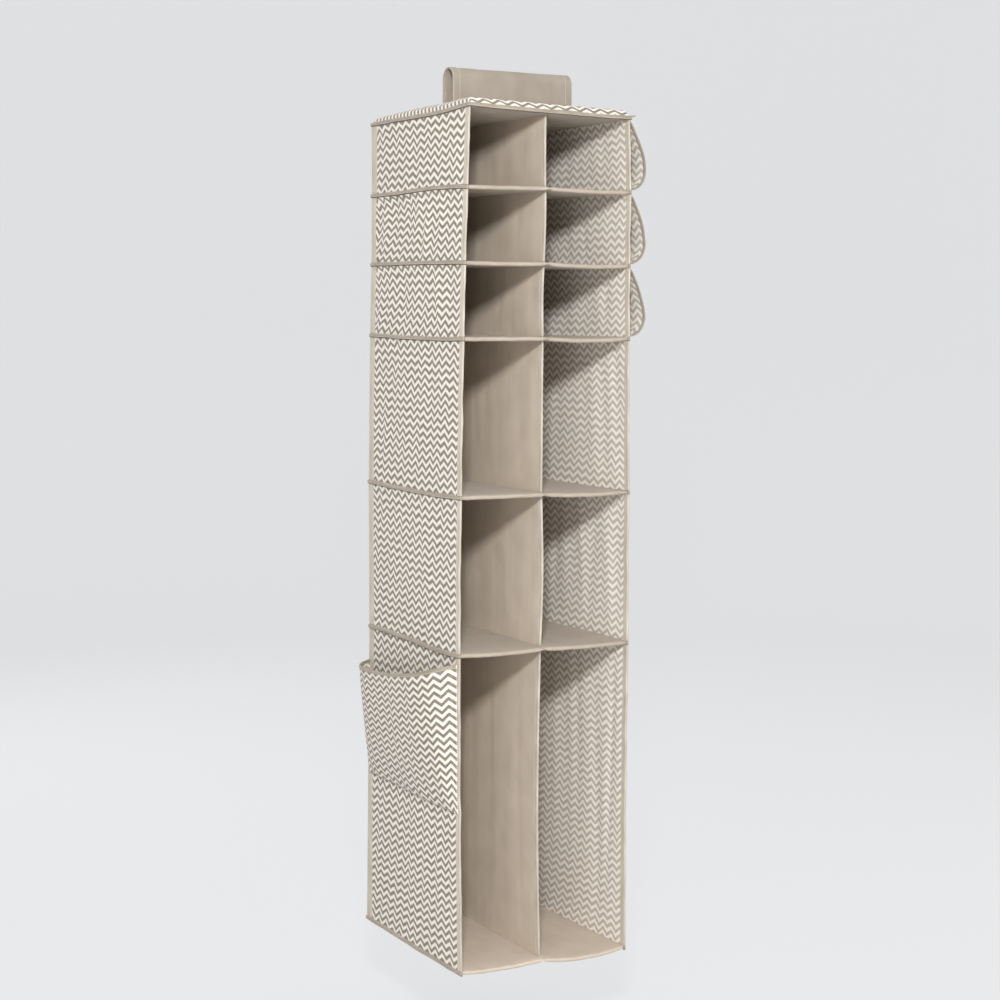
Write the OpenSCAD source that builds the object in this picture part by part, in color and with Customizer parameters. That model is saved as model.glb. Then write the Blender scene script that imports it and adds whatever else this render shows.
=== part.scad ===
// Hanging shoe organizer: a fabric tower of open cells that hangs from a closet rod.
// Two columns and six tiers of cells, three sleeves on the right wall and a pocket on the left wall.
// Millimetres, +Z up. The origin is on the rod's axis, X runs along the rod, and the open front faces -Y.

/* [Body] */
// Outside width, left wall to right wall
body_w = 305; // [250:1:400]
// Outside depth, front edge to back wall
body_d = 356; // [280:1:440]
// Height of each of the three low tiers, seam to seam
low_tier_h = 121; // [100:1:160]
// Height of each of the two middle tiers, seam to seam
mid_tier_h = 254; // [180:1:320]
// Height of the tall bottom tier, seam to seam
tall_tier_h = 520; // [420:1:620]

/* [Fabric] */
// Thickness of a wall or divider panel
wall_t = 2; // [1:0.1:3]
// Thickness of the fabric case round a board
cover_t = 1; // [0.6:0.1:1.6]
// Thickness of the pocket and sleeve fabric
pocket_t = 1.6; // [1:0.1:2.4]
// Gap where a panel meets the shelf below it
seam_gap = 0.3; // [0.1:0.05:0.5]

/* [Shelves] */
// Thickness of a stiffening board
board_t = 4; // [2:0.5:6]
// Play round a board inside its case
board_play = 0.3; // [0.1:0.1:0.6]
// Width of the stitched strip between the two boards of a shelf
board_split = 10; // [6:1:20]
// Width of the sewn hem between the boards and the edge of a case
hem_w = 8; // [5:1:15]
// Setback of a shelf's front edge from the walls' front edges
shelf_setback = 4; // [0:1:20]
// Setback of the divider's front edge from the walls' front edges
divider_setback = 18; // [0:1:40]

/* [Bindings] */
// Thickness of the binding tape
bind_t = 0.8; // [0.4:0.1:1.2]
// Width of the tape on each face of a front edge
front_bind_w = 12; // [8:1:20]
// Width of the tape on each face of a back corner
corner_bind_w = 20; // [10:1:30]
// Height of the rolled tape over a seam
seam_bind_h = 7.5; // [7.5:0.5:14]
// Distance that the rolled tape stands out from the wall
seam_bind_out = 3; // [2:0.5:5]
// Rounding of the rolled tape's outer edges
seam_bind_r = 1.5; // [0.5:0.1:1.9]

/* [Top] */
// Height of the dome that the strap draws up in the top
dome_rise = 16; // [8:1:24]
// Margin of the dome's flat middle round the strap's sewn feet
plateau_margin = 6; // [3:1:10]
// Height of the padded roll round the edge of the top
brim_rise = 8; // [4:1:12]
// Width of that roll
brim_run = 10; // [8:1:20]

/* [Strap] */
// Diameter of the closet rod
rod_d = 33; // [25:0.5:38]
// Height of the rod's axis above the edge of the top
rod_rise = 58; // [50:1:80]
// Distance of the rod's axis behind the front edge
rod_setback = 147; // [120:1:180]
// Width of the strap along the rod
strap_w = 225; // [150:1:230]
// Thickness of the strap's fabric
strap_t = 2; // [1.5:0.1:3]
// Length of the foot that sews the strap or its tab to the top
strap_foot = 15; // [10:1:25]
// Height of the hook and loop tapes
tape_h = 20; // [10:1:22]
// Thickness of each tape
tape_t = 1.3; // [0.8:0.1:1.6]
// Gap between the closed tapes
tape_gap = 0.2; // [0.1:0.05:0.4]
// Inset of the tapes from the strap's side edges
tape_inset = 8; // [4:1:20]
// Space between the flap's free end and the top, and between the tab and the rod
strap_clear = 2; // [1:0.5:3]

/* [Left pocket] */
// Distance of the mouth's sewn front end below the seam above
pocket_drop = 14; // [10:1:60]
// Height of the pocket at its sewn front end
pocket_h = 243; // [150:1:300]
// Distance that the open mouth stands out from the wall
pocket_bulge = 42; // [15:1:45]
// Drop of the mouth's back end below its front end
pocket_tilt = 45; // [0:1:60]
// Dip of the slack mouth between its sewn ends
pocket_dip = 16; // [0:1:40]
// Overlap of the pocket's front side on the front tape
pocket_lap = 4; // [2:1:8]
// Inset of the pocket's back side from the back corner
pocket_inset = 4; // [2:1:20]

/* [Right sleeves] */
// Half-width factor of the sleeve's pear-shaped section: its mean stand-out from the wall
sleeve_bulge = 26; // [12:1:40]
// Share by which the section is fuller low down
sleeve_skew = 0.6; // [0:0.05:0.8]
// Setback of the open end from the walls' front edges
sleeve_setback = 5; // [0:1:30]

/* [Hidden] */
rod_r = rod_d / 2;
side_x = body_w / 2;
front_y = -rod_setback;
back_y = body_d - rod_setback;
shelf_t = board_t + 2 * (board_play + cover_t);
tier_h = [low_tier_h, low_tier_h, low_tier_h, mid_tier_h, mid_tier_h, tall_tier_h];
tiers = len(tier_h);
sleeves = 3;
past = 1;
$fn = 64;

// Flat middle of the dome, where the strap and its tab are sewn down
plateau_z = dome_rise - rod_rise;
plateau_x = strap_w / 2 + plateau_margin;
plateau_front = -rod_r - strap_t - strap_foot - plateau_margin;
plateau_back = rod_r + strap_t + plateau_margin;

// Layers behind the rod, from the flap's inner face towards the rod
hook_y = rod_r - tape_t;
loop_y = hook_y - tape_gap - tape_t;
tab_y = loop_y - strap_t;
tab_top = -sqrt(rod_r * rod_r - tab_y * tab_y) - strap_clear;
flap_end = plateau_z + strap_t + strap_clear;
tape_end = flap_end + strap_clear;
tape_w = strap_w - 2 * tape_inset;

// Steps of the curved surfaces
dome_steps = 5;
brim_steps = 3;
pocket_rows = 9;
pocket_cols = 14;
sleeve_rows = 8;
sleeve_cols = 14;

// Exponents of the curved surfaces: how square the pocket's plan is, and how late a sleeve closes
pocket_square = 7;
pocket_sag = 2.5;
pocket_fill = 0.6;
sleeve_close = 3;

print_colour = "#c9c0b5";
plain_colour = "#b8aa98";
tape_colour = "#a99c8b";
board_colour = "#a98f6c";

WALL_NODES = ["left_wall_", "right_wall_", "back_wall_", "divider_", "edge_binding_"];
SHELF_NODES = ["shelf_cover_", "shelf_boards_", "seam_binding_"];
STRAP_NODES = ["hanging_strap", "strap_flap", "hook_tape", "strap_tab", "loop_tape"];

// Height of seam k, counted from 0 at the top to the number of tiers at the bottom
function drop(k) = k == 0 ? 0 : drop(k - 1) + tier_h[k - 1];
function seam_z(k) = -rod_rise - shelf_t / 2 - drop(k);

// Ends of the panels of tier k, and of the tapes on their upright edges
function panel_top(k) = seam_z(k - 1) - shelf_t / 2;
function panel_end(k) = seam_z(k) + shelf_t / 2 + seam_gap;
function tape_top(k) = seam_z(k - 1) - seam_bind_h / 2;
function tape_foot(k) = seam_z(k) + seam_bind_h / 2 + seam_gap;

// Share of a run, held between 0 and 1, and a rise that starts steep and ends level
function share(d, run) = min(1, max(0, d / run));
function ease(t) = 1 - pow(1 - t, 2);

// Height of the top over its edge: a padded roll along the edge, and the dome that the strap draws up
function side_in(x) = side_x - abs(x);
function front_in(y) = y - front_y;
function back_in(y) = back_y - y;
function brim(x, y) =
    ease(share(side_in(x), brim_run)) * ease(share(min(front_in(y), back_in(y)), brim_run));
function dome_x(x) = ease(share(side_in(x), side_x - plateau_x));
function dome_front(y) = ease(share(front_in(y), plateau_front - front_y));
function dome_back(y) = ease(share(back_in(y), back_y - plateau_back));
function drawn(x, y) = dome_x(x) * (y < 0 ? dome_front(y) : dome_back(y));
function dome(x, y) = brim_rise * brim(x, y) + (dome_rise - brim_rise) * drawn(x, y);

// Grid lines from a over the roll's inner line m to the dome's flat middle at p
function lines(a, m, p) = concat(
    [for (i = [0 : brim_steps - 1]) a + (m - a) * i / brim_steps],
    [for (i = [0 : dome_steps]) m + (p - m) * i / dome_steps]
);
function reversed(list) = [for (i = [len(list) - 1 : -1 : 0]) list[i]];

// Box from its lowest corner to its highest corner
module span(low, high) {
    translate(low) cube(high - low);
}

// Section drawn in Y and Z, carried along X over a centred width
module along_x(width) {
    rotate([90, 0, 90]) linear_extrude(height = width, center = true) children();
}

// Children and their mirror image on the other side of the body
module both_sides() {
    children();
    mirror([1, 0, 0]) children();
}

// Closed solid between two grids of points with the same rows and columns
module skin(outer, inner) {
    rows = len(outer);
    cols = len(outer[0]);
    count = rows * cols;
    last_row = count - cols;
    function quad(a, b, c, d) = [[a, b, c], [a, c, d]];
    cells = [for (i = [0 : rows - 2], j = [0 : cols - 2]) i * cols + j];
    row_edges = [for (i = [0 : rows - 2]) i * cols];
    col_edges = [for (j = [0 : cols - 2]) j];
    faces = concat(
        [for (a = cells) each quad(a, a + 1, a + cols + 1, a + cols)],
        [for (a = cells) each quad(count + a, count + a + cols, count + a + cols + 1, count + a + 1)],
        [for (a = row_edges) each quad(a, a + cols, count + a + cols, count + a)],
        [for (e = row_edges) let (a = e + cols - 1) each quad(a + cols, a, count + a, count + a + cols)],
        [for (a = col_edges) each quad(a + 1, a, count + a, count + a + 1)],
        [for (e = col_edges) let (a = e + last_row) each quad(a, a + 1, count + a + 1, count + a)]
    );
    polyhedron([for (row = outer) each row, for (row = inner) each row], faces);
}

// Dome over a rectangle inset from the edge of the top, lowered by a depth, down to a flat base
module dome_solid(inset, depth, base) {
    half = lines(inset - side_x, brim_run - side_x, -plateau_x);
    xs = concat(half, -reversed(half));
    ys = concat(
        lines(front_y + inset, front_y + brim_run, plateau_front),
        reversed(lines(back_y - inset, back_y - brim_run, plateau_back))
    );
    skin(
        [for (x = xs) [for (y = ys) [x, y, dome(x, y) - rod_rise - depth]]],
        [for (x = xs) [for (y = ys) [x, y, base]]]
    );
}

module top_cover() {
    base = -rod_rise - shelf_t;
    color(print_colour) difference() {
        dome_solid(0, 0, base);
        dome_solid(hem_w, cover_t, base + cover_t);
    }
}

module top_board() {
    inset = hem_w + board_play;
    base = -rod_rise - shelf_t + cover_t + board_play;
    low = [inset - side_x, front_y + inset, base];
    high = [side_x - inset, back_y - inset, base + board_t];
    color(board_colour) span(low, high);
}

// Section of the tape rolled over a seam: flat on the wall, with rounded outer edges
module roll_section() {
    flat_h = seam_bind_h - 2 * seam_bind_r;
    translate([0, -seam_bind_h / 2]) square([seam_bind_out - seam_bind_r, seam_bind_h]);
    translate([0, -flat_h / 2]) square([seam_bind_out, flat_h]);
    for (side = [-1, 1])
        translate([seam_bind_out - seam_bind_r, side * flat_h / 2]) circle(seam_bind_r);
}

// Rolled tape along both sides and the back of seam k, turned round the back corners
module seam_roll(k) {
    translate([0, 0, seam_z(k)]) {
        both_sides() {
            translate([side_x, back_y, 0]) rotate([90, 0, 0]) linear_extrude(body_d) roll_section();
            translate([side_x, back_y, 0]) rotate_extrude(angle = 90) roll_section();
        }
        translate([0, back_y, 0]) along_x(body_w) roll_section();
    }
}

module seam_binding(k) {
    color(tape_colour) seam_roll(k);
}

module top_binding() {
    color(tape_colour) {
        seam_roll(0);
        translate([0, front_y, seam_z(0)]) {
            mirror([0, 1, 0]) along_x(body_w) roll_section();
            both_sides() translate([side_x, 0, 0]) rotate([0, 0, -90]) rotate_extrude(angle = 90) roll_section();
        }
    }
}

// Strap from its foot on the top, up the front and over the rod to its back
module hanging_strap() {
    outer_r = rod_r + strap_t;
    color(plain_colour) along_x(strap_w) {
        translate([-outer_r - strap_foot, plateau_z]) square([strap_foot + strap_t, strap_t]);
        translate([-outer_r, plateau_z]) square([strap_t, -plateau_z]);
        difference() {
            circle(outer_r);
            circle(rod_r);
            translate([-outer_r - past, -outer_r - past]) square([2 * (outer_r + past), outer_r + past]);
        }
    }
}

module strap_flap() {
    color(plain_colour) along_x(strap_w) translate([rod_r, flap_end]) square([strap_t, -flap_end]);
}

module hook_tape() {
    color(tape_colour) along_x(tape_w) translate([hook_y, tape_end]) square([tape_t, tape_h]);
}

module loop_tape() {
    color(tape_colour) along_x(tape_w) translate([loop_y, tape_end]) square([tape_t, tape_h]);
}

// Upstand behind the rod that the flap closes on, with its sewn foot under the rod
module strap_tab() {
    color(plain_colour) along_x(strap_w) {
        translate([tab_y, plateau_z]) square([strap_t, tab_top - plateau_z]);
        translate([tab_y - strap_foot, plateau_z]) square([strap_foot + strap_t, strap_t]);
    }
}

module left_wall(k) {
    low = [-side_x, front_y + bind_t, panel_end(k)];
    high = [wall_t - side_x, back_y - wall_t, panel_top(k)];
    color(print_colour) span(low, high);
}

module right_wall(k) {
    mirror([1, 0, 0]) left_wall(k);
}

module back_wall(k) {
    color(plain_colour) span([-side_x, back_y - wall_t, panel_end(k)], [side_x, back_y, panel_top(k)]);
}

module divider(k) {
    low = [-wall_t / 2, front_y + divider_setback + bind_t, panel_end(k)];
    color(plain_colour) span(low, [wall_t / 2, back_y - wall_t, panel_top(k)]);
}

// Plan of the tape folded round a front edge that is centred on x and starts at y
module folded_tape(x, y) {
    r = wall_t / 2 + bind_t;
    translate([x, y]) difference() {
        union() {
            translate([0, r]) circle(r);
            translate([-r, r]) square([2 * r, front_bind_w - r]);
        }
        translate([-wall_t / 2, bind_t]) square([wall_t, front_bind_w]);
    }
}

// Plan of the tape folded round the right back corner
module corner_tape() {
    translate([side_x, back_y]) difference() {
        translate([-corner_bind_w, -corner_bind_w]) square(corner_bind_w + bind_t);
        translate([-corner_bind_w - past, -corner_bind_w - past]) square(corner_bind_w + past);
    }
}

// Five tapes on the upright edges of tier k
module edge_binding(k) {
    color(tape_colour) translate([0, 0, tape_foot(k)]) linear_extrude(tape_top(k) - tape_foot(k)) {
        both_sides() {
            folded_tape(side_x - wall_t / 2, front_y);
            corner_tape();
        }
        folded_tape(0, front_y + divider_setback);
    }
}

// Fabric case round the two boards of seam k, with a rounded front edge
module board_case(k) {
    nose_y = front_y + shelf_setback + shelf_t / 2;
    hollow_h = board_t + 2 * board_play;
    translate([0, 0, seam_z(k)]) difference() {
        along_x(body_w) {
            translate([nose_y, 0]) circle(shelf_t / 2);
            translate([nose_y, -shelf_t / 2]) square([back_y - nose_y, shelf_t]);
        }
        both_sides()
            span([board_split / 2, nose_y, -hollow_h / 2], [side_x - hem_w, back_y - hem_w, hollow_h / 2]);
    }
}

module boards(k) {
    nose_y = front_y + shelf_setback + shelf_t / 2;
    low = [board_split / 2 + board_play, nose_y + board_play, -board_t / 2];
    high = [side_x - hem_w - board_play, back_y - hem_w - board_play, board_t / 2];
    color(board_colour) translate([0, 0, seam_z(k)]) both_sides() span(low, high);
}

module shelf_cover(k) {
    color(plain_colour) board_case(k);
}

// Stand-out of a sleeve's pear-shaped section, by the angle from its bottom and the share of its length
function sleeve_out(angle, u) =
    sleeve_bulge * sin(angle) * (1 + sleeve_skew * cos(angle)) * (1 - pow(u, sleeve_close));

// Sleeve sewn over the edge tapes of tier k, open at the front and closed towards the back
module right_sleeve(k) {
    start_y = front_y + sleeve_setback;
    end_y = back_y - corner_bind_w / 2;
    mid_z = (tape_top(k) + tape_foot(k)) / 2;
    half_h = (tape_top(k) - tape_foot(k)) / 2 - pocket_t;
    function point(u, angle, grow) = [
        side_x + bind_t + sleeve_out(angle, u) + grow * sin(angle),
        start_y + (end_y - start_y - pocket_t + grow) * u,
        mid_z - (half_h + grow) * cos(angle)
    ];
    function grid(grow) =
        [for (i = [0 : sleeve_rows]) [for (j = [0 : sleeve_cols])
            point(i / sleeve_rows, 180 * j / sleeve_cols, grow)]];
    color(print_colour) skin(grid(pocket_t), grid(0));
}

// Pocket sewn over the edge tapes of the left wall, with a slack mouth that gapes
module left_pocket() {
    start_y = front_y + front_bind_w - pocket_lap;
    end_y = back_y - pocket_inset;
    mouth_z = seam_z(tiers - 1) - pocket_drop;
    function full(u, power) = 1 - pow(abs(2 * u - 1), power);
    function point(s, u, grow) = [
        -side_x - bind_t - grow - pocket_bulge * full(u, pocket_square) * pow(s, pocket_fill),
        start_y + (end_y - start_y) * u,
        mouth_z - pocket_h * (1 - s) - (pocket_tilt * u + pocket_dip * full(u, pocket_sag)) * s
    ];
    function grid(grow) =
        [for (i = [0 : pocket_rows]) [for (j = [0 : pocket_cols])
            point(i / pocket_rows, j / pocket_cols, grow)]];
    color(print_colour) skin(grid(pocket_t), grid(0));
}

top_cover();
top_board();
top_binding();
hanging_strap();
strap_flap();
hook_tape();
strap_tab();
loop_tape();
for (k = [1 : tiers]) {
    left_wall(k);
    right_wall(k);
    back_wall(k);
    divider(k);
    edge_binding(k);
}
for (k = [1 : tiers - 1]) {
    shelf_cover(k);
    boards(k);
    seam_binding(k);
}
shelf_cover(tiers);  // bottom_cover
boards(tiers);  // bottom_boards
seam_binding(tiers);  // bottom_binding
for (k = [1 : sleeves]) {
    right_sleeve(k);
}
left_pocket();
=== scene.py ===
"""Looks of a soft hanging shoe organizer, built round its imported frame.

Lengths are in millimetres until a mesh is written, and places on a cloth are in metres.
The origin is the middle of the closet rod. X runs along the rod to the right, Y to the back and Z up.
"""

import logging
import math
from collections.abc import Callable
from dataclasses import dataclass, field
from enum import Enum
from functools import cached_property, partial

import bpy
import numpy as np
from mathutils import Matrix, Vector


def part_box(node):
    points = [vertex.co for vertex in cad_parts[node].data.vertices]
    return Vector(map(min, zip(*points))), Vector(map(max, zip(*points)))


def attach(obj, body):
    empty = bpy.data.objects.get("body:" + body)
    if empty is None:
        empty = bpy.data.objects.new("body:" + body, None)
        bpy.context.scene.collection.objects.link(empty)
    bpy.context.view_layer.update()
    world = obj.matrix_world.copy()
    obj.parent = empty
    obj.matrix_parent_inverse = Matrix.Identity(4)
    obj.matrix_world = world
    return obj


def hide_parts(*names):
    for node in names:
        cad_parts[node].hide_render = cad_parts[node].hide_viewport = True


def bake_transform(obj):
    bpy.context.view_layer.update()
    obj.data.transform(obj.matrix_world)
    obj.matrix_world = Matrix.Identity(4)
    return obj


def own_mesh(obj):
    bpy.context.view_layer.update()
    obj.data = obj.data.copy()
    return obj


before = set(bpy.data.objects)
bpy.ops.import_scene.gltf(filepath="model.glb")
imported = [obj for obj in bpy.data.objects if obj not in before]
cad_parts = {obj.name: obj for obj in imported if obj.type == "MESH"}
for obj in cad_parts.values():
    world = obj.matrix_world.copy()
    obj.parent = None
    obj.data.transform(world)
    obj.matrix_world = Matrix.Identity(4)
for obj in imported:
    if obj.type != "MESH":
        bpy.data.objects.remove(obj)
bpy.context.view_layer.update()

log = logging.getLogger("organizer")

Array = np.ndarray
Places = Array | float
Material = bpy.types.Material
Piece = bpy.types.Object
Row = tuple[float, ...]
Pair = tuple[float, float]
Colour = tuple[float, float, float]
Shift = Callable[[Array, Array], Array]
Stretch = tuple[Array, Array]
MM = 0.001
CLOTH_MAP = "cloth"
REVERSE_MARK = "reverse_side"
SHARP_ANGLE = math.radians(42)
SLEEVE_TIERS = (1, 2, 3)


class Side(Enum):
    """A side of the body, as the sign of its X."""

    LEFT = -1
    RIGHT = 1


class Hold(Enum):
    """How a sheet of cloth is held."""

    STRETCHED = "stretched"
    FOLDED = "folded"
    HUNG = "hung"
    GATHERED = "gathered"


class Slot(Enum):
    """Material slots of the record."""

    CHEVRON = "chevron_fabric"
    PLAIN = "plain_fabric"
    STRAP = "strap_fabric"
    TAPE = "binding_tape"
    BOARD = "board"
    CLOSURE = "closure_tape"


def spaced(start: float, stop: float, step: float) -> Array:
    """Even stations from start to stop, about a step apart and at least two."""
    return np.linspace(start, stop, max(2, round(abs(stop - start) / step) + 1))


def held(t: Array) -> Array:
    """Share held between 0 and 1."""
    return np.clip(t, 0.0, 1.0)


def smooth(t: Array) -> Array:
    """S-shaped rise 3t^2 - 2t^3 of a held share."""
    return held(t) ** 2 * (3.0 - 2.0 * held(t))


def ease(t: Array) -> Array:
    """Rise 1 - (1 - t)^2 of a held share, steep at first and level at its end."""
    return 1.0 - (1.0 - held(t)) ** 2


def arch(t: Array) -> Array:
    """Half a sine wave, from 0 over 1 half way to 0 again."""
    return np.sin(np.pi * t)


def through(heights: Row, t: Array) -> Array:
    """Polynomial at shares t, through heights that stand at even shares from 0 to 1."""
    return np.polyval(np.polyfit(np.linspace(0.0, 1.0, len(heights)), heights, len(heights) - 1), t)


def placed(*parts: Places) -> Array:
    """Points from their coordinates, each an array or one number for all of them."""
    return np.stack(np.broadcast_arrays(*parts), -1)


def unit(vectors: Array) -> Array:
    """Vectors scaled to a length of 1."""
    return vectors / np.linalg.norm(vectors, axis=-1, keepdims=True)


def run_length(points: Array) -> Array:
    """Distance walked from the first of a row of points to each of them."""
    return np.concatenate([[0.0], np.cumsum(np.linalg.norm(np.diff(points, axis=0), axis=1))])


def between(at: Array, walked: Array, rows: Array) -> Array:
    """Rows along a walked line, blended straight at the given distances."""
    return placed(*(np.interp(at, walked, column) for column in rows.T))


def arc(centre: Row, radius: float, start: float, stop: float, count: int) -> Array:
    """Points of a plane arc between two angles in degrees, one per row."""
    angle = np.radians(np.linspace(start, stop, count))
    return np.array(centre) + radius * placed(np.cos(angle), np.sin(angle))


def normals_of(line: Array) -> Array:
    """Unit normals on the left of a plane line, square to the step between the neighbours of each point."""
    step = unit(np.gradient(line, axis=0))
    return placed(-step[:, 1], step[:, 0])


def quads_of(index: Array) -> Array:
    """Corners of the faces between neighbours in a grid of point numbers."""
    return placed(index[:-1, :-1], index[:-1, 1:], index[1:, 1:], index[1:, :-1]).reshape(-1, 4)


def wrapped(index: Array) -> Array:
    """Grid of point numbers with its first column again at the end, so that its rows close."""
    return np.concatenate([index, index[:, :1]], axis=1)


def cloth_grid(across: Array, up: Array) -> Array:
    """Places in metres on a cloth, for every pair of a place across and a place up it."""
    return placed(*np.meshgrid(across, up)) * MM


@dataclass(frozen=True)
class Stitch:
    """A stitch: a short four-sided bead of thread, thin at both ends and partly sunk into the cloth."""

    thick: float = 0.34
    pitch: float = 4.2
    share: float = 0.7
    lift: float = 0.4
    reach: Row = (0.0, 0.25, 0.75, 1.0)
    girth: Row = (0.45, 1.0, 1.0, 0.45)


@dataclass
class Skin:
    """Mesh of one piece, gathered surface by surface as whole arrays."""

    points: list[Array] = field(default_factory=list)
    cloth: list[Array] = field(default_factory=list)
    quads: list[Array] = field(default_factory=list)
    reverse: list[Array] = field(default_factory=list)
    count: int = 0

    def add(self, points: Array, cloth: Array, quads: Array, front: int | None = None) -> "Skin":
        """Adds a closed surface and turns its faces outwards by the sign of its volume.

        Args:
            points: Points of the surface.
            cloth: Place of each point on the cloth.
            quads: Corners of each face.
            front: How many of the points, from the first, lie on the cloth's front, if not all do.

        Returns:
            The skin itself.
        """
        points, cloth = points.reshape(-1, 3), cloth.reshape(-1, 2)
        a, b, c, d = (points[quads[:, i]] for i in range(4))
        volume = (a * np.cross(b, c) + a * np.cross(c, d)).sum()
        self.points.append(points)
        self.cloth.append(cloth)
        self.quads.append((quads if volume > 0 else quads[:, ::-1]) + self.count)
        self.reverse.append(np.arange(len(points)) >= (len(points) if front is None else front))
        self.count += len(points)
        return self

    def layer(self, outer: Array, inner: Array, cloth: Array) -> "Skin":
        """Adds a sheet with thickness: two grids of points, and a rim that joins their edges.

        Args:
            outer: Grid of points on the outer face.
            inner: Grid of points on the inner face, of the same shape.
            cloth: Grid of places on the cloth.

        Returns:
            The skin itself.
        """
        rows, cols = outer.shape[:2]
        under = rows * cols
        index = np.arange(under).reshape(rows, cols)
        face = quads_of(index)
        rim = np.concatenate([index[0, :-1], index[:-1, -1], index[-1, :0:-1], index[:0:-1, 0]])
        ahead = np.roll(rim, -1)
        edge = placed(ahead, rim, rim + under, ahead + under)
        quads = np.concatenate([face, face[:, ::-1] + under, edge])
        return self.add(np.stack([outer, inner]), np.stack([cloth, cloth]), quads, under)

    def tube(self, rings: Array, cloth: Array, closed: bool = False) -> "Skin":
        """Adds a bar: rings of an even number of points along a path, with quad caps at its ends.

        Args:
            rings: Rings by points by coordinates.
            cloth: Grid of places on the cloth.
            closed: True where the last ring meets the first.

        Returns:
            The skin itself.
        """
        count, size = rings.shape[:2]
        index = wrapped(np.arange(count * size).reshape(count, size))
        low = np.arange(size // 2 - 1)
        cap = placed(low, size - 1 - low, size - 2 - low, low + 1)
        if closed:
            return self.add(rings, cloth, quads_of(np.concatenate([index, index[:1]])))
        end = cap[:, ::-1] + (count - 1) * size
        return self.add(rings, cloth, np.concatenate([quads_of(index), cap, end]))

    def stitches(self, line: Array, out: Array, stitch: Stitch = Stitch()) -> "Skin":
        """Adds a row of stitches: beads of four rings along a line, evenly apart.

        Args:
            line: Points of the seam line in order.
            out: Direction away from the cloth, at each of these points or for all of them.
            stitch: Sizes of a stitch.

        Returns:
            The skin itself.
        """
        walked = run_length(line)
        count = max(1, int((walked[-1] - stitch.pitch) // stitch.pitch))
        middle = (np.arange(count) + 0.5) * stitch.pitch
        half = 0.5 * stitch.share * stitch.pitch
        first, last = (between(middle + end, walked, line) for end in (-half, half))
        lift = unit(between(middle, walked, np.broadcast_to(out, line.shape)))
        across = unit(np.cross(last - first, lift))
        reach, girth = np.array(stitch.reach), stitch.thick * np.array(stitch.girth)
        turn = np.arange(4)[:, None] * np.pi / 2.0
        raised = first + stitch.lift * stitch.thick * lift
        centre = raised[:, None] + (last - first)[:, None] * reach[:, None]
        ring = across[:, None] * np.cos(turn) + lift[:, None] * np.sin(turn)
        beads = centre[:, :, None] + girth[:, None, None] * ring[:, None]
        index = np.arange(16).reshape(4, 4)
        bead = np.concatenate([quads_of(wrapped(index)), index[:1, ::-1], index[-1:]])
        quads = (bead + np.arange(count)[:, None, None] * index.size).reshape(-1, 4)
        places = np.repeat(placed(reach * stitch.pitch, 0.0) * MM, 4, axis=0)
        return self.add(beads, np.tile(places, (count, 1)), quads)

    def build(self, name: str, finish: Material) -> Piece:
        """Writes the gathered arrays, as they hang, into a Blender object at the origin.

        Args:
            name: Name of the piece.
            finish: Its material.

        Returns:
            The object.
        """
        points, cloth, quads = (np.concatenate(part) for part in (self.points, self.cloth, self.quads))
        mesh = bpy.data.meshes.new(name)
        mesh.from_pydata((Hang().moved(points) * MM).tolist(), [], quads.tolist())
        places = mesh.uv_layers.new(name=CLOTH_MAP)
        places.uv.foreach_set("vector", cloth[quads.ravel()].astype(np.float32).ravel())
        turned = mesh.attributes.new(REVERSE_MARK, "FLOAT", "POINT")
        turned.data.foreach_set("value", np.concatenate(self.reverse).astype(np.float32))
        mesh.polygons.foreach_set("use_smooth", np.ones(len(quads), bool))
        mesh.set_sharp_from_angle(angle=SHARP_ANGLE)
        mesh.materials.append(finish)
        mesh.update()
        piece = bpy.data.objects.new(name, mesh)
        bpy.context.scene.collection.objects.link(piece)
        return piece


@dataclass(frozen=True)
class Fold:
    """Fold of a tier towards its upper seam: its joint, the height it is anchored at and the share that is
    kept.
    """

    joint: str
    anchor: float
    keep: float


def settle(
    piece: Piece, body: str, nodes: tuple[str, ...] = (), fold: Fold | None = None
) -> Piece:
    """Puts a finished piece on its body and reports it.

    Args:
        piece: The piece.
        body: CAD body that carries it.
        nodes: CAD nodes that it stands for.
        fold: Fold of its tier, if any, which only gives the piece a mesh of its own.

    Returns:
        The piece.
    """
    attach(piece, body)
    if nodes:
        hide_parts(*nodes)
    if fold:
        fold.anchor * MM
        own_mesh(piece)
    log.info("%s: %d faces on %s", piece.name, len(piece.data.polygons), body)
    return piece


@dataclass(frozen=True)
class Grain:
    """Cloudy noise on a cloth: clouds in a metre across and up, octaves, and weights in shade and relief."""

    across: float
    up: float
    octaves: float = 2.0
    shade: float = 0.0
    relief: float = 0.0


Grains = tuple[Grain, ...]


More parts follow.
